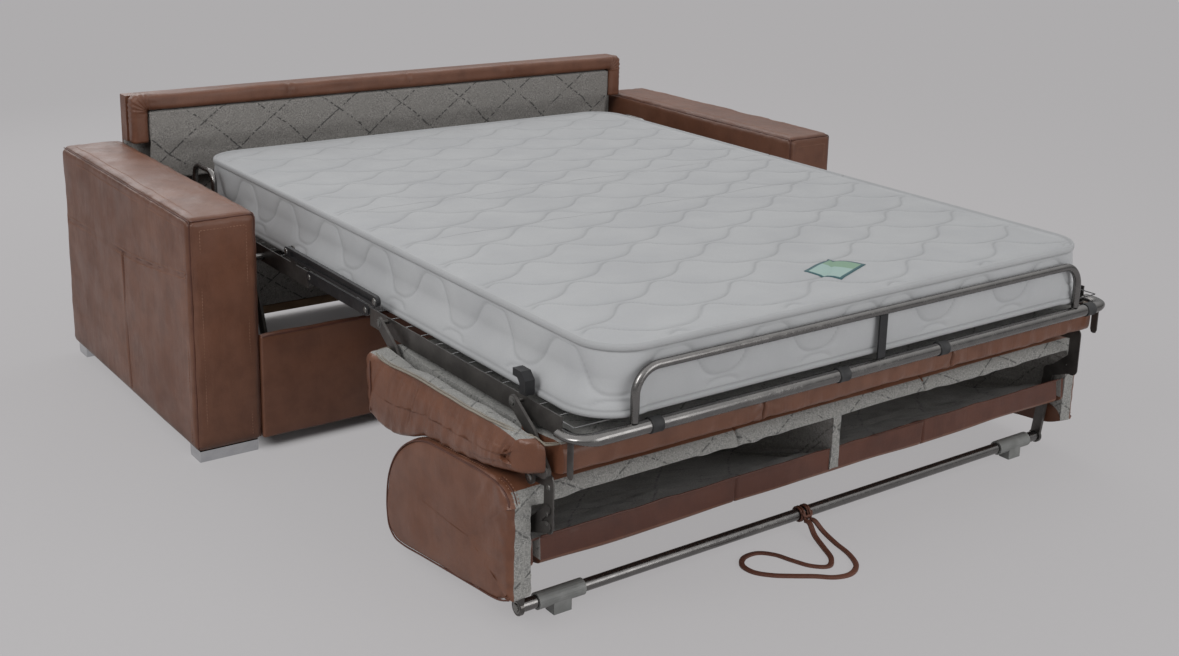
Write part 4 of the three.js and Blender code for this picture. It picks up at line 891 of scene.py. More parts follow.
# How far the mattress's sides stand out at each height: the tape at the top, and the one at the bottom
TOP_TAPE = [(2.5, 136.4), (5.5, 137.6), (8.6, 136.4), (10.3, 133.0), (10.4, 128.5), (9.4, 124.6),
            (6.2, 122.4)]
LOW_TAPE = [(6.2, 13.6), (9.4, 11.4), (10.4, 7.8), (10.0, 3.6), (7.6, 1.0), (3.0, 0.3), (0.0, 0.3)]


def mattress_piece(name, low, high, round_low, round_high, body):
    """One third of the mattress: the quilted top, taped and quilted sides, and flat faces at its folds."""
    rim, row_step, arc_points, columns = 10, 4, 26, 234
    half, turn = MATTRESS_HALF - rim, CORNER - rim
    first = MATTRESS_FOOT + rim + turn if round_low else low
    last = MATTRESS_HEAD - rim - turn if round_high else high
    count = int(round((last - first) / row_step))
    # Y, half width and bend of each row of points: an arc, the straight part and an arc
    arc = [(turn * math.sin(angle), half - turn + turn * math.cos(angle), angle)
           for angle in np.radians(np.linspace(90, 0, arc_points))]
    lines = [(first - ahead, wide, -angle) for ahead, wide, angle in arc if round_low]
    lines += [(first + (last - first) * k / count, half, 0.0)
              for k in range(int(round_low), count + int(not round_high))]
    lines += [(last + ahead, wide, angle) for ahead, wide, angle in arc[::-1] if round_high]
    ys, halves, bends = np.array(lines).T
    rows = len(ys)
    x = (halves[:, None] * np.linspace(-1, 1, columns)).ravel()
    y = np.repeat(ys, columns)
    top = rows_of(x, y, mattress_top(x, y))
    inside = np.minimum(half - np.abs(x), np.minimum(y - MATTRESS_FOOT, MATTRESS_HEAD - y) - rim)
    # painted shade: darker in the quilting seams of the top, and below in those of the sides and the creases
    # at the tapes
    tones = [bell(top_seams(x, y), 2.9) * step(inside, 6, 30)]
    faces = grid_faces(rows, columns)[:, [0, 3, 2, 1]].tolist()

    # the loop round the top: along the low end, up the right side, back along the high end, down the left
    grid = np.arange(rows * columns).reshape(rows, columns)
    loop = np.concatenate([grid[0, :-1], grid[:-1, -1], grid[-1, :0:-1], grid[:0:-1, 0]])
    ends = []
    for is_round, way in ((round_low, -1), (round_high, 1)):
        ends.append(np.tile((0.0, way if is_round else 0.0), (columns - 1, 1)))
        if not is_round:
            ends[-1][0] = (way, 0)
    right = np.stack([np.cos(bends), np.sin(bends)], 1)
    facing = np.concatenate([ends[0], right[:-1], ends[1], (right * (-1, 1))[:0:-1]])
    edge = top[loop]
    # distance along the sides, round the corners and along the ends, the same for all three pieces
    centre, half_length = (MATTRESS_HEAD + MATTRESS_FOOT) / 2, (MATTRESS_HEAD - MATTRESS_FOOT) / 2
    bend = np.arctan2(np.abs(facing[:, 1]), np.abs(facing[:, 0]))
    end_run = np.where(bend > 1.57, MATTRESS_HALF - CORNER - np.abs(edge[:, 0]), 0)
    turned_run = half_length - CORNER + CORNER * bend + end_run
    along = np.where(bend > 0.001, centre + np.sign(facing[:, 1]) * turned_run, edge[:, 1])

    rise = edge[:, 2] - (MATTRESS_BOTTOM + EDGE_HEIGHT)
    cut = np.abs(facing).sum(1) < 1e-9
    for end, is_round in ((0, round_low), (rows - 1, round_high)):
        if not is_round:
            cut |= loop // columns == end
    # the sides spread a little over the net at the bottom, clear of the hoops at the head
    spread = 30.0 * np.abs(facing[:, 0]) * (1 - step(edge[:, 1], 380, 500))
    panel_top, panel_low = 119.5, 16.5
    wall = TOP_TAPE + [(None, z) for z in np.linspace(panel_top, panel_low, 34)] + LOW_TAPE
    rings = []
    for offset, z in wall:
        if offset is None:
            share = (panel_top - z) / (panel_top - panel_low)
            swell = math.sin(math.pi * share)
            fade = swell ** 0.35 if 0 < share < 1 else 0.0
            seams = side_seams(along, np.full(len(along), z + 8.0))
            out = 7.0 + 3.6 * swell ** 0.7 + quilt(seams, 3.0, 17, 6.0) * fade
            # painted shade in the side's quilting seams
            tones.append(bell(seams, 2.2) * fade)
        else:
            out = offset
            # painted shade in the crease where a tape meets the side panel
            tones.append(np.full(len(edge), 0.9 if offset == TOP_TAPE[-1][0] else 0.0))
        out = out + spread * float(1 - step(z, 2, 74))
        height = MATTRESS_BOTTOM + np.where(cut, min(z, EDGE_HEIGHT), z) + rise * z / EDGE_HEIGHT
        rings.append(rows_of(edge[:, 0] + facing[:, 0] * out, edge[:, 1] + facing[:, 1] * out, height))
    marks = [0] * len(faces)
    before, ahead = loop, np.roll(np.arange(len(loop)), -1)
    for index in range(len(rings)):
        here = len(top) + index * len(loop) + np.arange(len(loop))
        faces += np.stack([before, before[ahead], here[ahead], here], 1).tolist()
        tape = index < len(TOP_TAPE) or index >= len(rings) - len(LOW_TAPE)
        marks += [int(tape)] * len(loop)
        before = here
    faces.append(before.tolist())
    marks.append(0)
    return put(name + "_cover", (np.concatenate([top] + rings), faces), TICKING, body, "mattress", name,
               fill=0.9, crisp=62, marks=marks, extra=(TAPE,), tone=np.concatenate(tones))


def make_mattress():
    low, high = FOOT_HINGE - 8, HEAD_HINGE + 8
    mattress_piece("mattress_head", high, MATTRESS_HEAD, False, True, "head_section")
    mattress_piece("mattress_foot", MATTRESS_FOOT, low, True, False, "foot_section")
    middle = mattress_piece("mattress_middle", low, high, False, False, "middle_section")
    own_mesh(middle)

    # a woven card on the top, with a border and a leaf-green band along one side of it
    a, b, c, d = np.array([(-52, -1004), (66, -956), (98, -1038), (-20, -1084)], float)
    rows, columns = 19, 13
    u, v = np.meshgrid(np.linspace(0, 1, rows), np.linspace(0, 1, columns), indexing="ij")
    u, v = u.ravel()[:, None], v.ravel()[:, None]
    x, y = (a * (1 - u) * (1 - v) + b * u * (1 - v) + c * u * v + d * (1 - u) * v).T
    height = mattress_top(x, y)
    grid = np.arange(rows * columns).reshape(rows, columns)
    rim = np.concatenate([grid[0], grid[1:, -1], grid[-1, -2::-1], grid[-2:0:-1, 0]])
    quads, ahead = grid_faces(rows, columns), np.roll(rim, -1)
    below = quads[:, ::-1] + grid.size
    sides = np.stack([rim, ahead, ahead + grid.size, rim + grid.size], 1)
    row, column = quads[:, 0] // columns, quads[:, 0] % columns
    border = (row < 1) | (row > rows - 3) | (column < 1) | (column > columns - 3)
    marks = np.where(border, 1, np.where(row > 10, 2, 0)).tolist() + [1] * (len(below) + len(sides))
    field = ticking_look("label_field", (146, 172, 168), (158, 180, 172))
    edge = ticking_look("label_edge", (62, 92, 98), (74, 104, 106))
    band = ticking_look("label_band", (122, 152, 130), (134, 160, 138))
    put("mattress_label", (np.concatenate([rows_of(x, y, height + 1.3), rows_of(x, y, height - 0.4)]),
                           np.concatenate([quads, below, sides])),
        field, "foot_section", "mattress", marks=marks, extra=(edge, band))


def turned_outline(points):
    """Outward normals of a closed outline in (y, z)."""
    ahead = np.roll(points, -1, 0) - np.roll(points, 1, 0)
    normal = normed(np.stack([ahead[:, 1], -ahead[:, 0]], 1))
    area = (points[:, 0] * np.roll(points[:, 1], -1) - np.roll(points[:, 0], -1) * points[:, 1]).sum()
    return normal if area > 0 else -normal


def end_stations(half, rounding):
    """Places before a cushion's side and how far its outline is drawn in there."""
    angles = np.linspace(0, math.pi / 2, 7)
    return [(half - rounding * (1 - math.sin(a)), rounding * (1 - math.cos(a))) for a in angles]


def crowned(caps, reach, last, spine, sign):
    """Rings that close a cushion's side in a low crown, from its rim inwards."""
    return [at_x(sign * (reach + bulge), last + (spine - last) * share) for share, bulge in caps]


def around(lane):
    """Places close to both sides of a lane, which make its edges crisp."""
    return [edge + shift for edge in lane for shift in (-0.2, 0.2)]


# Outline of the seat cushion as it lies: share of the depth from the back, share below the top
SEAT_SHARES = [(0.016, 0), (0, 0.025), (0, 0.096), (0.009, 0.166), (0.034, 0.207), (0.084, 0.229),
               (0.183, 0.232), (0.29, 0.202), (0.384, 0.168), (0.508, 0.156), (0.632, 0.142), (0.771, 0.118),
               (0.895, 0.1), (0.972, 0.091), (0.996, 0.077), (1, 0.042), (0.996, 0.012), (0.98, 0),
               (0.771, 0), (0.508, 0), (0.232, 0)]
SEAT_CAPS = [(0.05, 0.7), (0.1, 1.2), (0.16, 1.7), (0.22, 2.1), (0.29, 2.4), (0.36, 2.6), (0.44, 2.8),
             (0.52, 2.8), (0.6, 2.9), (0.69, 2.9), (0.78, 2.9), (0.87, 2.9), (0.97, 2.9)]


def spine_of(outline, margin):
    """For each point of an outline in (y, z), the place on its middle line that it shrinks towards."""
    places = np.clip(outline[:, 0], outline[:, 0].min() + margin, outline[:, 0].max() - margin)
    heights = []
    for place in places:
        near = outline[np.argsort(np.abs(outline[:, 0] - place))[:8], 1]
        heights.append((near.max() + near.min()) / 2)
    return np.stack([places, heights], 1)


def shape_cheeks(points, side, full, share=1.0):
    """The cheeks outside the links stand fuller, and their front corners are rounded."""
    y = -points[:, 1]
    rise = step(side, SEAT_LANE[1] + 0.1, full) * share
    points[:, 2] += 16.0 * rise * step(y, 560, 760) * (1 - 0.5 * step(y, 1020, 1130))
    limit = 1124.0 - 42.0 * unit((side - SEAT_LANE[1]) / 50.0) ** 2
    ahead = (y > 1000) & (side > SEAT_LANE[1])
    points[ahead, 1] = -1000 - (y[ahead] - 1000) * (limit[ahead] - 1000) / 148.0


def make_seat_cushion():
    corners = [(SEAT_BACK - SEAT_DEPTH * a, SEAT_TOP - 4 - SEAT_DEPTH * b) for a, b in SEAT_SHARES]
    outline = smooth_curve(corners, 260, closed=True)
    inner = [x for x in np.arange(9, CUSHION_HALF - 22, 9.0)
             if abs(x - CUSHION_SEAM) > 7 and not SEAT_LANE[0] - 6 < x < SEAT_LANE[1] + 6]
    inner += [CUSHION_SEAM + shift for shift in (-6.0, -3.5, -1.5, 0.0, 1.5, 3.5, 6.0)] + around(SEAT_LANE)
    stations = [(x, 0.0) for x in sorted(inner)] + end_stations(CUSHION_HALF - 3, 18)
    normal = turned_outline(outline)
    reach, inset = stations[-1]
    caps = (SEAT_CAPS, reach, outline - normal * inset, spine_of(outline, 60))
    places = [(-x, inset) for x, inset in stations[::-1]] + stations
    rings = crowned(*caps, -1)[::-1] + [at_x(x, outline - normal * inset) for x, inset in places]
    verts, faces = skin_rings(rings + crowned(*caps, 1))
    normal = outward(verts, faces, (0, (outline[:, 0].min() + outline[:, 0].max()) / 2, 340))
    x, y, z = verts.T
    side = np.abs(x)
    top = step(normal[:, 2], 0.6, 0.95) * step(z, 395, 404)
    body = 1 - top
    front = step(-y, 1050, 1130)
    # folds of the leather on the sides, leaning forwards as they rise
    lean = y + 0.45 * (z - 340)
    place = rows_of(lean, 0.0, z * 0.12)
    on_side = step(np.abs(normal[:, 0]), 0.3, 0.9) * body
    out = on_side * (1.5 * waves(place, 38, 61) + 0.9 * waves(place, 90, 62))
    out += on_side * (0.4 + 0.6 * step(-y, 900, 1090)) * 0.9 * waves(rows_of(lean, 0.0, z * 0.07), 19, 60)
    out += body * 0.8 * waves(verts, 190, 63, (1.6, 1, 1))
    # gathers round the front corner and tucks in the front
    out += front * step(side, 740, 830) * body * waves(rows_of(side, y * 0.9, z * 0.15), 32, 64)
    for seam in (-CUSHION_SEAM, CUSHION_SEAM):
        gap = x - seam
        out -= body * 8.5 * bell(gap, 2.6) * step(-y, 560, 640)
        out += body * front * 2.0 * np.sin((z + 0.7 * np.abs(gap)) / 5.5) * bell(gap, 34)
    out += step(-normal[:, 1], 0.3, 0.9) * 1.2 * waves(rows_of(x, y, z * 0.3), 70, 65)
    # the lining is laid over the frame and dips a little between its edges
    dip = step(CUSHION_HALF - side, 14, 60)
    dip = dip * step(y + SEAT_DEPTH - SEAT_BACK, 14, 60) * step(SEAT_BACK - y, 14, 60)
    out += top * (1.4 * waves(verts, 120, 66) - 2.0 * dip + 0.6)
    verts = verts + normal * (out - 1.0 * body)[:, None]
    shape_cheeks(verts, side, SEAT_LANE[1] + 6, top)
    # room for the links: a slit from above, open to the front
    within = (side > SEAT_LANE[0]) & (side < SEAT_LANE[1])
    verts[within, 2] = np.minimum(verts[within, 2], 338.5)
    verts[within, 1] = np.maximum(verts[within, 1], -1011.0)
    marks = []
    for face in faces:
        x, y, z = verts[face].mean(0)
        x = abs(x)
        limit = -1134 if x < SEAT_LANE[1] else -1106 + 42 * ((x - SEAT_LANE[1]) / 50) ** 2
        lined = z > 399 and x < CUSHION_HALF - 13 and limit < y < SEAT_BACK - 15
        if SEAT_LANE[0] - 0.3 < x < SEAT_LANE[1] + 0.3:
            lined = y > -1008
        marks.append(int(lined))
    put("seat_cushion_cover", (verts, faces), LEATHER_SOFT, "seat", "leather", "seat_cushion", fill=0.85,
        crisp=62, marks=marks, extra=(LINING_LIGHT,))

    # two cords of piping round the lining
    shapes = []
    for inset, lift, radius in ((12.0, 1.2, 2.1), (18.5, 1.0, 1.6)):
        a, b = CUSHION_HALF - inset, SEAT_BACK - inset
        c = SEAT_BACK - SEAT_DEPTH + inset + 2
        right = [(a - 70, b, 0), (a - 16, b - 6, 0), (a, b - 40, 0), (a, c + 92, 0), (a - 26, c + 22, 0),
                 (a - 78, c, 0)]
        left = [(-x, y, z) for x, y, z in right[::-1]]
        line = smooth_curve(left[-1:] + right + left[:-1], 620, closed=True)
        line[:, 2] = 409.0 + lift
        shape_cheeks(line, np.abs(line[:, 0]), 796)
        shapes.append(tube_points(line, circle(radius, 7), closed=True))
    verts, faces = merged(shapes)
    verts[:, 2] += 0.4 * waves(verts, 90, 67)
    put("seat_piping", (verts, faces), PIPING, "seat", "lining")

    # stitches in the lining beside the piping
    a, b, c = CUSHION_HALF - 25, SEAT_BACK - 25, SEAT_BACK - SEAT_DEPTH + 27
    put("seat_stitches", stitches([(spaced([(x, c + 90, 408.6), (x, b - 30, 408.6)], 12), UP)
                                   for x in (-a, a)]), THREAD_DARK, "seat", "lining")

    # seam line between the boxing at the back and the side
    paths = []
    for x in (0.6 - CUSHION_HALF, CUSHION_HALF - 0.6):
        seam = [(x, SEAT_BACK - 34, 398), (x, SEAT_BACK - 36, 340), (x * 0.999, SEAT_BACK - 33, 286)]
        paths.append(smooth_curve(seam, 24))
    put("seat_side_seam", tubes(paths, 1.4, 6, (0, 1, 0.1)), LEATHER_DARK, "seat", "leather")


# Outlines of the back cushion: shares of its depth from the end, and of its height
BACK_LOW = [(0.996, 0.225), (0.922, 0.171), (0.73, 0.124), (0.524, 0.08), (0.318, 0.036), (0.146, 0),
            (0.07, 0.007), (0.019, 0.073), (0.002, 0.189)]
BACK_HIGH = [(0.60, 1.034), (0.709, 1.048), (0.80, 1.055), (0.90, 1.048), (0.952, 1.02), (0.983, 0.975),
             (0.998, 0.91)]
BACK_INNER = [(0.992, 0.895), (0.75, 0.90), (0.462, 0.875), (0.30, 0.80), (0.17, 0.66), (0.10, 0.48),
              (0.072, 0.30), (0.088, 0.175), (0.16, 0.135), (0.32, 0.18), (0.524, 0.28), (0.73, 0.42),
              (0.9, 0.56), (0.992, 0.636)]
# The underside between the side panels rises to the lip of the openings
LIP_LOW = [(0.996, 0.46), (0.985, 0.425), (0.922, 0.39), (0.73, 0.27), (0.524, 0.15), (0.318, 0.05)]
BACK_CAPS = [(0.03, 0.5), (0.07, 1.0), (0.12, 1.4), (0.2, 1.7), (0.3, 1.9), (0.42, 2.0), (0.56, 2.0),
             (0.72, 2.0), (0.88, 2.0), (0.985, 2.0)]


def back_curve(shares, count):
    places = [(BACK_END - BACK_DEPTH * a, BACK_BOTTOM + BACK_HEIGHT * b) for a, b in shares]
    return smooth_curve(places, count)


def back_rings(solid, shell, board, spine):
    """The back cushion's rings from left to right, and which outline each one follows."""
    divider, side = 12.0, CUSHION_HALF - 50
    normal = turned_outline(solid)
    plain = [x for x in np.arange(divider + 6, side - 3, 9.0) if abs(x - CUSHION_SEAM) > 7
             and min(abs(x - edge) for edge in BACK_LANE) > 4]
    plain += [CUSHION_SEAM + shift for shift in (-6.0, -3.0, -1.0, 0.0, 1.0, 3.0, 6.0)] + around(BACK_LANE)
    half = [(x, 0.0, "board") for x in (0.0, divider / 2, divider)]
    half += [(x, 0.0, "shell") for x in [divider + 0.3] + sorted(plain) + [side - 0.3]]
    half += [(x, 0.0, "solid") for x in (side, side + 12, side + 24)]
    half += [(x, inset, "solid") for x, inset in end_stations(CUSHION_HALF - 2, 12)]
    reach, inset, _ = half[-1]
    caps = (BACK_CAPS, reach, solid - normal * inset, spine)
    outlines = {"shell": shell, "board": board}
    rings, kinds = crowned(*caps, -1)[::-1], ["solid"] * len(BACK_CAPS)
    for sign, ordered in ((-1, half[::-1]), (1, half[1:])):
        for x, inset, kind in ordered:
            rings.append(at_x(sign * x, outlines.get(kind, solid - normal * inset)))
            kinds.append(kind)
    return rings + crowned(*caps, 1), kinds + ["solid"] * len(BACK_CAPS), reach


def back_mark(centre, outside, kinds):
    """Material of a face of the back cushion: 0 leather, 1 light lining, 2 inner lining with painted light
    (lighter than the cloth is, against the shade inside), 3 dark leather.
    """
    x, y, z = centre
    if abs(x) > CUSHION_HALF - 15 or (z < 86 and kinds[0] == "solid"):
        return 0
    if outside:
        return int(y < -1064 and z > 262)
    if kinds == ["shell", "shell"]:
        return 1 if y < -1062 and z > 225 else (3 if y < -1070 else 2)
    return 1 if kinds[0] == kinds[1] or y < -1058 else 2


def make_back_cushion():
    arc = [(0.462 * (1 - math.cos(t)), 0.298 + 0.72 * math.sin(t)) for t in np.linspace(0, math.pi / 2, 7)]
    outer = back_curve(BACK_LOW + arc + BACK_HIGH, 150)
    lipped = back_curve(LIP_LOW + BACK_LOW[5:] + arc + BACK_HIGH, 150)
    across = np.linspace(0.012, 0.988, 111)[:, None]
    mouth = outer[-1] + (outer[0] - outer[-1]) * across
    mouth[:, 0] = np.minimum(mouth[:, 0], BACK_FRONT + 1.5)
    solid = np.concatenate([outer, mouth])
    shell = np.concatenate([lipped, back_curve(BACK_INNER, 110)])
    board = np.concatenate([lipped, lipped[-1] + (lipped[0] - lipped[-1]) * across])
    middle = BACK_BOTTOM + BACK_HEIGHT / 2
    spine = rows_of(np.clip(solid[:, 0], BACK_FRONT + 150, BACK_END - 150), middle)
    rings, kinds, reach = back_rings(solid, shell, board, spine)
    verts, faces = skin_rings(rings)
    count, size = len(outer), len(solid)
    is_outer = np.arange(len(verts)) % size < count
    shelled = np.repeat([kind == "shell" for kind in kinds], size)
    normal = outward(verts, faces, (0, BACK_END - BACK_DEPTH / 2, middle), is_outer)
    x, y, z = verts.T
    far = np.abs(x)
    capped = far > reach + 0.3
    normal[capped] = rows_of(np.sign(x[capped]), 0, 0)
    # leather outside: the side panels are nearly flat, the round back is softly wavy
    panel = step(far, CUSHION_HALF - 10, CUSHION_HALF - 2)
    corner = step(-y, 940, 1060) * step(z, 170, 270)
    low_corner = step(-y, 1000, 1070) * (1 - step(z, 90, 150))
    fold = rows_of(y + 0.6 * z, z * 0.2, far * 0.2)
    out = is_outer * (1 - panel) * 1.3 * waves(verts, 170, 71, (1.8, 1, 1))
    out += is_outer * corner * step(far, 790, 836) * 2.2 * waves(fold, 34, 72)
    out += panel * (0.9 * waves(verts, 150, 73) + corner * 1.8 * waves(rows_of(y - 0.8 * z, 0, 0), 46, 74))
    for seam in (-CUSHION_SEAM, CUSHION_SEAM):
        out -= is_outer * 6.0 * bell(x - seam, 2.6)
    out += is_outer * low_corner * step(far, 780, 830) * 2.0 * waves(fold, 24, 75)
    # cloth inside, and the rims of the openings
    cloth, rim = ~is_outer & shelled, ~is_outer & ~shelled
    out += cloth * (2.2 * waves(verts, 130, 76, (2.4, 1, 1)) + 1.0 * waves(verts, 46, 77, (1.5, 1, 1)) - 1.5)
    out += rim * (0.8 * waves(verts, 40, 78) - 0.4) - 0.8 * is_outer
    verts = verts + normal * out[:, None]
    verts[:, 1] = np.maximum(verts[:, 1], BACK_FRONT - 2)
    within = (far > BACK_LANE[0]) & (far < BACK_LANE[1]) & (verts[:, 1] < -1001) & (verts[:, 2] < 161)
    verts[within, 1] = -1001.0
    marks = [0] * len(faces)
    for number, face in enumerate(faces):
        ring, place = divmod(number, size)
        if len(face) == 4:
            marks[number] = back_mark(verts[face].mean(0), place < count - 1, kinds[ring:ring + 2])
    put("back_cushion_cover", (verts, faces), LEATHER, "back", "leather", "back_cushion", fill=0.75, crisp=66,
        marks=marks, extra=(LINING_LIGHT, LINING_INSIDE_PAINTED_LIT, LEATHER_DARK))

    # welts round the side panels, and stitches beside them
    shapes, runs = [], []
    normal = turned_outline(solid)[:count]
    edge, second = outer - normal * 3.2, outer - normal * 0.2
    keep = second[:, 1] > 120
    for sign in (-1, 1):
        for line, inset, radius, sides in ((edge, 4.2, 1.9, 7), (second[keep], 19.0, 1.3, 6)):
            shapes.append(tubes([spaced(at_x(sign * (CUSHION_HALF - inset), line), 7)], radius, sides, OUT))
        for inset in (13.5, 24.0):
            runs.append((at_x(sign * (CUSHION_HALF - inset), outer[keep]), at_x(0, normal[keep])))
    put("back_cushion_welts", merged(shapes), LEATHER_DARK, "back", "leather")
    put("back_cushion_stitches", stitches(runs), THREAD, "back", "leather")

    # dark piping along the lower rim of the openings
    paths = []
    for a, b in ((1 - BACK_LANE[0], -14), (14, BACK_LANE[0] - 1)):
        path = spaced([(a, BACK_FRONT + 5.0, 203.0), (b, BACK_FRONT + 5.0, 203.0)], 12)
        path[:, 2] += 0.5 * waves(path, 80, 79)
        paths.append(path)
    put("back_mouth_piping", tubes(paths, 2.4, 7), LEATHER_DARK, "back", "leather")


CAD_LOOKS = {
    "chrome": CHROME, "wood": WOOD, "plastic": PLASTIC, "rubber": RUBBER, "steel": STEEL, "tube": TUBE,
    "leather": LEATHER, "lining": LINING, "mattress": TICKING,
}
BLACK_NODES = ("stay_lever", "corner_hook", "guard_strut", "middle_rail")


def dress_cad():
    """Give each carried-over solid its look, and its edges a fine round."""
    slots = {part["node"]: part["material_slot"] for part in frame["record"]["subparts"]}
    for name, node in frame["nodes"].items():
        look = STEEL_BLACK if name.startswith(BLACK_NODES) else CAD_LOOKS[slots.get(name, "steel")]
        if name == "back_beam":
            look = LEATHER
        if len(node.material_slots) == 0:
            node.data.materials.append(look)
        for slot in node.material_slots:
            slot.material = look
        if slots.get(name) in ("leather", "lining", "mattress") or name.endswith("_net"):
            continue
        bevel = node.modifiers.new("fine_edge", "BEVEL")
        bevel.width = 0.0022 if name.startswith("skid_foot") else 0.0009
        bevel.segments = 2
        bevel.limit_method = "ANGLE"
        bevel.angle_limit = math.radians(42)
        bevel.use_clamp_overlap = True


def node_box(name):
    """Lowest and highest corner of a node in this script's millimetres."""
    return [np.array(corner) * 1000 - np.array([0, ROW_SHIFT * 1000, 0]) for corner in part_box(name)]


def bent_tube(node, corners, bend, steps, radius, body, ends, up=UP):
    """A round tube in place of a node. Towards its ends it grows wider, taller and more dished, from
    and to the distances at the start of ends."""
    path = rounded_path(corners, bend, steps)
    fine = [path[:1]]
    for a, b in zip(path, path[1:]):
        pieces = max(int(np.linalg.norm(b - a) / 12), 1)
        fine.append(a + (b - a) * np.arange(1, pieces + 1)[:, None] / pieces)
    path = np.concatenate(fine)
    near, far, wide, tall, dish = ends
    run = run_of(path)
    share = 1 - step(np.minimum(run, run[-1] - run), near, far)[:, None]
    a, b = circle(radius, 18).T
    sections = np.stack([a * (1 + wide * share), b * (1 + tall * share)], 2)
    sections[:, :, 1] -= dish * share * radius * bell(a / radius, 0.55) * (b > 0)
    put(node + "_round", tube_points(path, sections, up), TUBE, body, "tube", node, crisp=60)


def make_tubes():
    foot = [(-763, -1130), (-763, TUBE_LINE), (763, TUBE_LINE), (763, -1130)]
    bent_tube("foot_tube", [(x, y, TUBE_HEIGHT) for x, y in foot], 44, 12, TUBE_RADIUS - 0.4, "foot_section",
              (26, 92, 0.16, -0.36, 0.45))
    low = node_box("foot_tube")[0][2]
    thick, inset = 3.0, 0.7
    outline = np.array([(-1172, low + 9), (-1172, 428), (-1154, 428), (-1154, low + 9), (-1157, low + 2),
                        (-1163, low), (-1169, low + 2)])
    normal = turned_outline(outline)
    for key, side in SIDES.items():
        rings = [at_x(side * 763 + share, outline - normal * drawn) for share, drawn in (
            (-thick / 2, inset), (inset - thick / 2, 0), (thick / 2 - inset, 0), (thick / 2, inset))]
        put("foot_tube_lug_" + key, skin_rings(rings), STEEL, "foot_section", "steel", crisp=30)

    low, high = node_box("guard_rail")
    radius = 9.0
    reach = high[0] - radius
    places = [(-reach, low[2]), (-reach, high[2] - radius), (reach, high[2] - radius), (reach, low[2])]
    bent_tube("guard_rail", [(x, TUBE_LINE, z) for x, z in places], 52, 12, radius - 0.2, "foot_section",
              (4, 22, -0.06, -0.06, 0), REAR)
    radius = 8.0
    for key in SIDES:
        low, high = node_box("head_hoop_" + key)
        near, far, top = low[1] + radius, high[1] - radius, high[2] - radius
        places = [(near, low[2] + 0.2), (near, top), (far, top), (far, low[2] + 0.2)]
        middle = (low[0] + high[0]) / 2
        bent_tube("head_hoop_" + key, [(middle, y, z) for y, z in places], 32, 10, radius - 0.2,
                  "head_section", (0, 1, 0, 0, 0), OUT)
    bar = spaced([(-772.6, BAR_LINE, BAR_HEIGHT), (772.6, BAR_LINE, BAR_HEIGHT)], 40)
    put("floor_bar_round", tubes([bar], BAR_RADIUS - 0.1, 24), TUBE, "back", "tube", "floor_bar", crisp=38)

    # sleeves of black plastic on the foot tube
    profile = [(-14, 13.7), (-14, 14.9), (-13.2, 15.7), (-11.5, 16.0), (-10.6, 15.5), (10.6, 15.5),
               (11.5, 16.0), (13.2, 15.7), (14, 14.9), (14, 13.7)]
    for number, x in enumerate((-594, -112, 186, 692)):
        put("foot_sleeve_%d" % (number + 1), turned((x, TUBE_LINE, TUBE_HEIGHT), profile, 28, closed=True),
            RUBBER, "foot_section", "plastic", crisp=50)


# Turned parts of the pivot heads: sides, then shares of the height and of the radius
RIVET_HEAD = [(18, [(0.0, 1.0), (0.25, 1.0), (0.55, 0.93), (0.8, 0.72), (0.94, 0.48), (1.0, 0.25),
                    (0.86, 0.14)])]
BOLT_HEAD = [(24, [(0.0, 1.36), (0.14, 1.36), (0.2, 1.28)]), (6, [(0.2, 1.0), (0.86, 1.0), (1.0, 0.86)])]
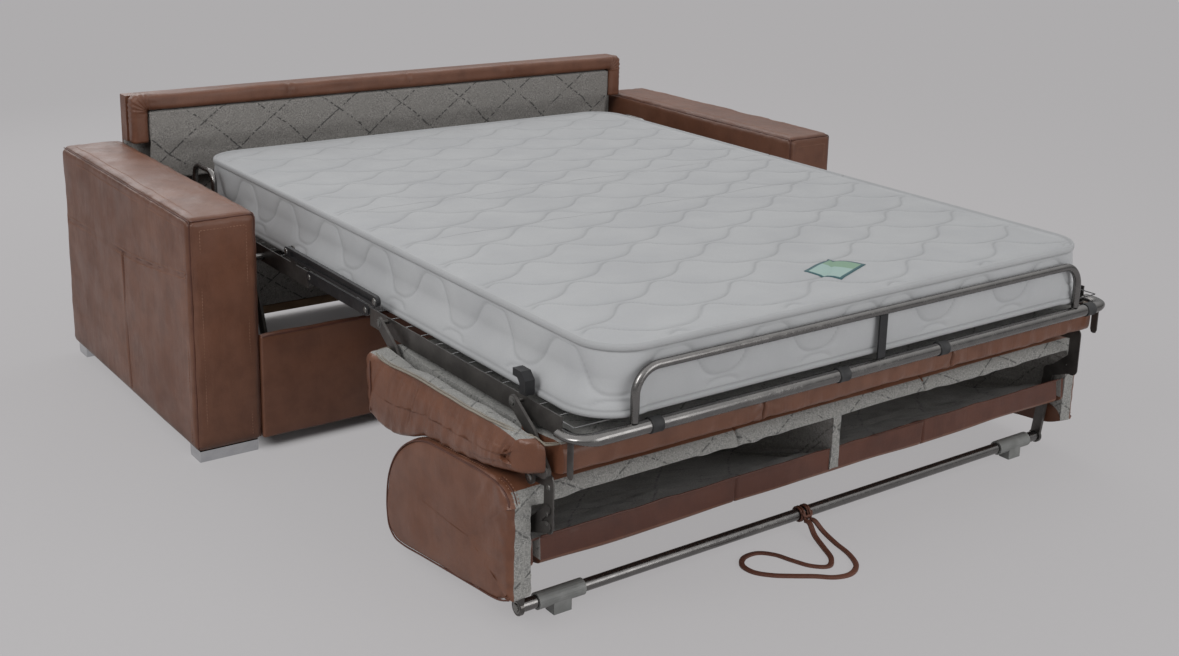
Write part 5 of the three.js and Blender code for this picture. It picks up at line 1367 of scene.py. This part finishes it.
# Pivots on the right side: X of the outer face, Y, Z, radius, height (inwards where negative) and head
PIVOTS = {
    "lift_front": [(798.0, 190, 434, 8.5, 3.6, RIVET_HEAD), (798.0, 85.6, 167.7, 8.5, 3.6, RIVET_HEAD)],
    "lift_rear": [(798.0, 520, 434, 8.5, 3.6, RIVET_HEAD), (798.0, 415.6, 167.7, 8.5, 3.6, RIVET_HEAD)],
    "stay_levers": [(776.0, 15, 492, 8.0, 3.4, RIVET_HEAD), (776.0, -437, 490, 8.0, 3.4, RIVET_HEAD)],
    "middle_section": [(763.8, -84, 451, 7.0, 2.6, RIVET_HEAD), (763.8, -370, 451, 7.0, 2.6, RIVET_HEAD)],
    "seat_links_front": [(783.0, -1111, 354, 8.0, 3.0, RIVET_HEAD), (783.0, -1000, 452, 8.0, 3.2, BOLT_HEAD)],
    "seat_links_rear": [(783.0, -581, 354, 8.0, 3.0, RIVET_HEAD), (783.0, -470, 452, 8.0, 3.2, BOLT_HEAD)],
    "seat": [(789.0, -1070, 328, 8.0, 3.2, RIVET_HEAD)],
    "back": [(776.3, -1110, 266, 5.0, 0.65, RIVET_HEAD), (776.3, -1110, 247, 5.0, 0.65, RIVET_HEAD),
             (781.0, -1020, 34, 9.0, 3.6, BOLT_HEAD), (773.0, -1110, 318, 6.0, 2.4, RIVET_HEAD)],
    "sofa_body": [(847.7, y, z, 6.0, -3.4, BOLT_HEAD) for y in (80, 250, 420) for z in (290, 186)],
}


def make_fasteners():
    for body, places in PIVOTS.items():
        shapes = []
        for x, y, z, radius, height, head in places:
            for side in SIDES.values():
                shapes.append(merged([turned((side * x, y, z), [
                    (side * height * rise, radius * share) for rise, share in profile], sides)
                    for sides, profile in head]))
        put("pivot_heads_" + body, merged(shapes), RIVET, body, "chrome", crisp=40)


def make_net(name, body):
    """A mesh of welded wires in place of a node's grid."""
    low, high = node_box(name)
    z = (low[2] + high[2]) / 2
    xs, ys = (np.linspace(low[axis] + 1.5, high[axis] - 1.5, int((high[axis] - low[axis]) / pitch) + 1)
              for axis, pitch in ((0, 100), (1, 60)))
    paths = [[(x, low[1], z + 0.6), (x, high[1], z + 0.6)] for x in xs]
    paths += [[(low[0], y, z - 0.7), (high[0], y, z - 0.7)] for y in ys]
    put(name + "_wires", tubes([spaced(path, 120) for path in paths], 1.3, 6), WIRE, body, "steel", name)


set_camera()
make_strap()
set_floor()
set_light()
dress_cad()
for key in SIDES:
    make_arm(key)
make_front_rail()
make_back()
make_mattress()
make_seat_cushion()
make_back_cushion()
make_tubes()
make_fasteners()
for section in ("head", "foot", "middle"):
    make_net(section + "_net", section + "_section")
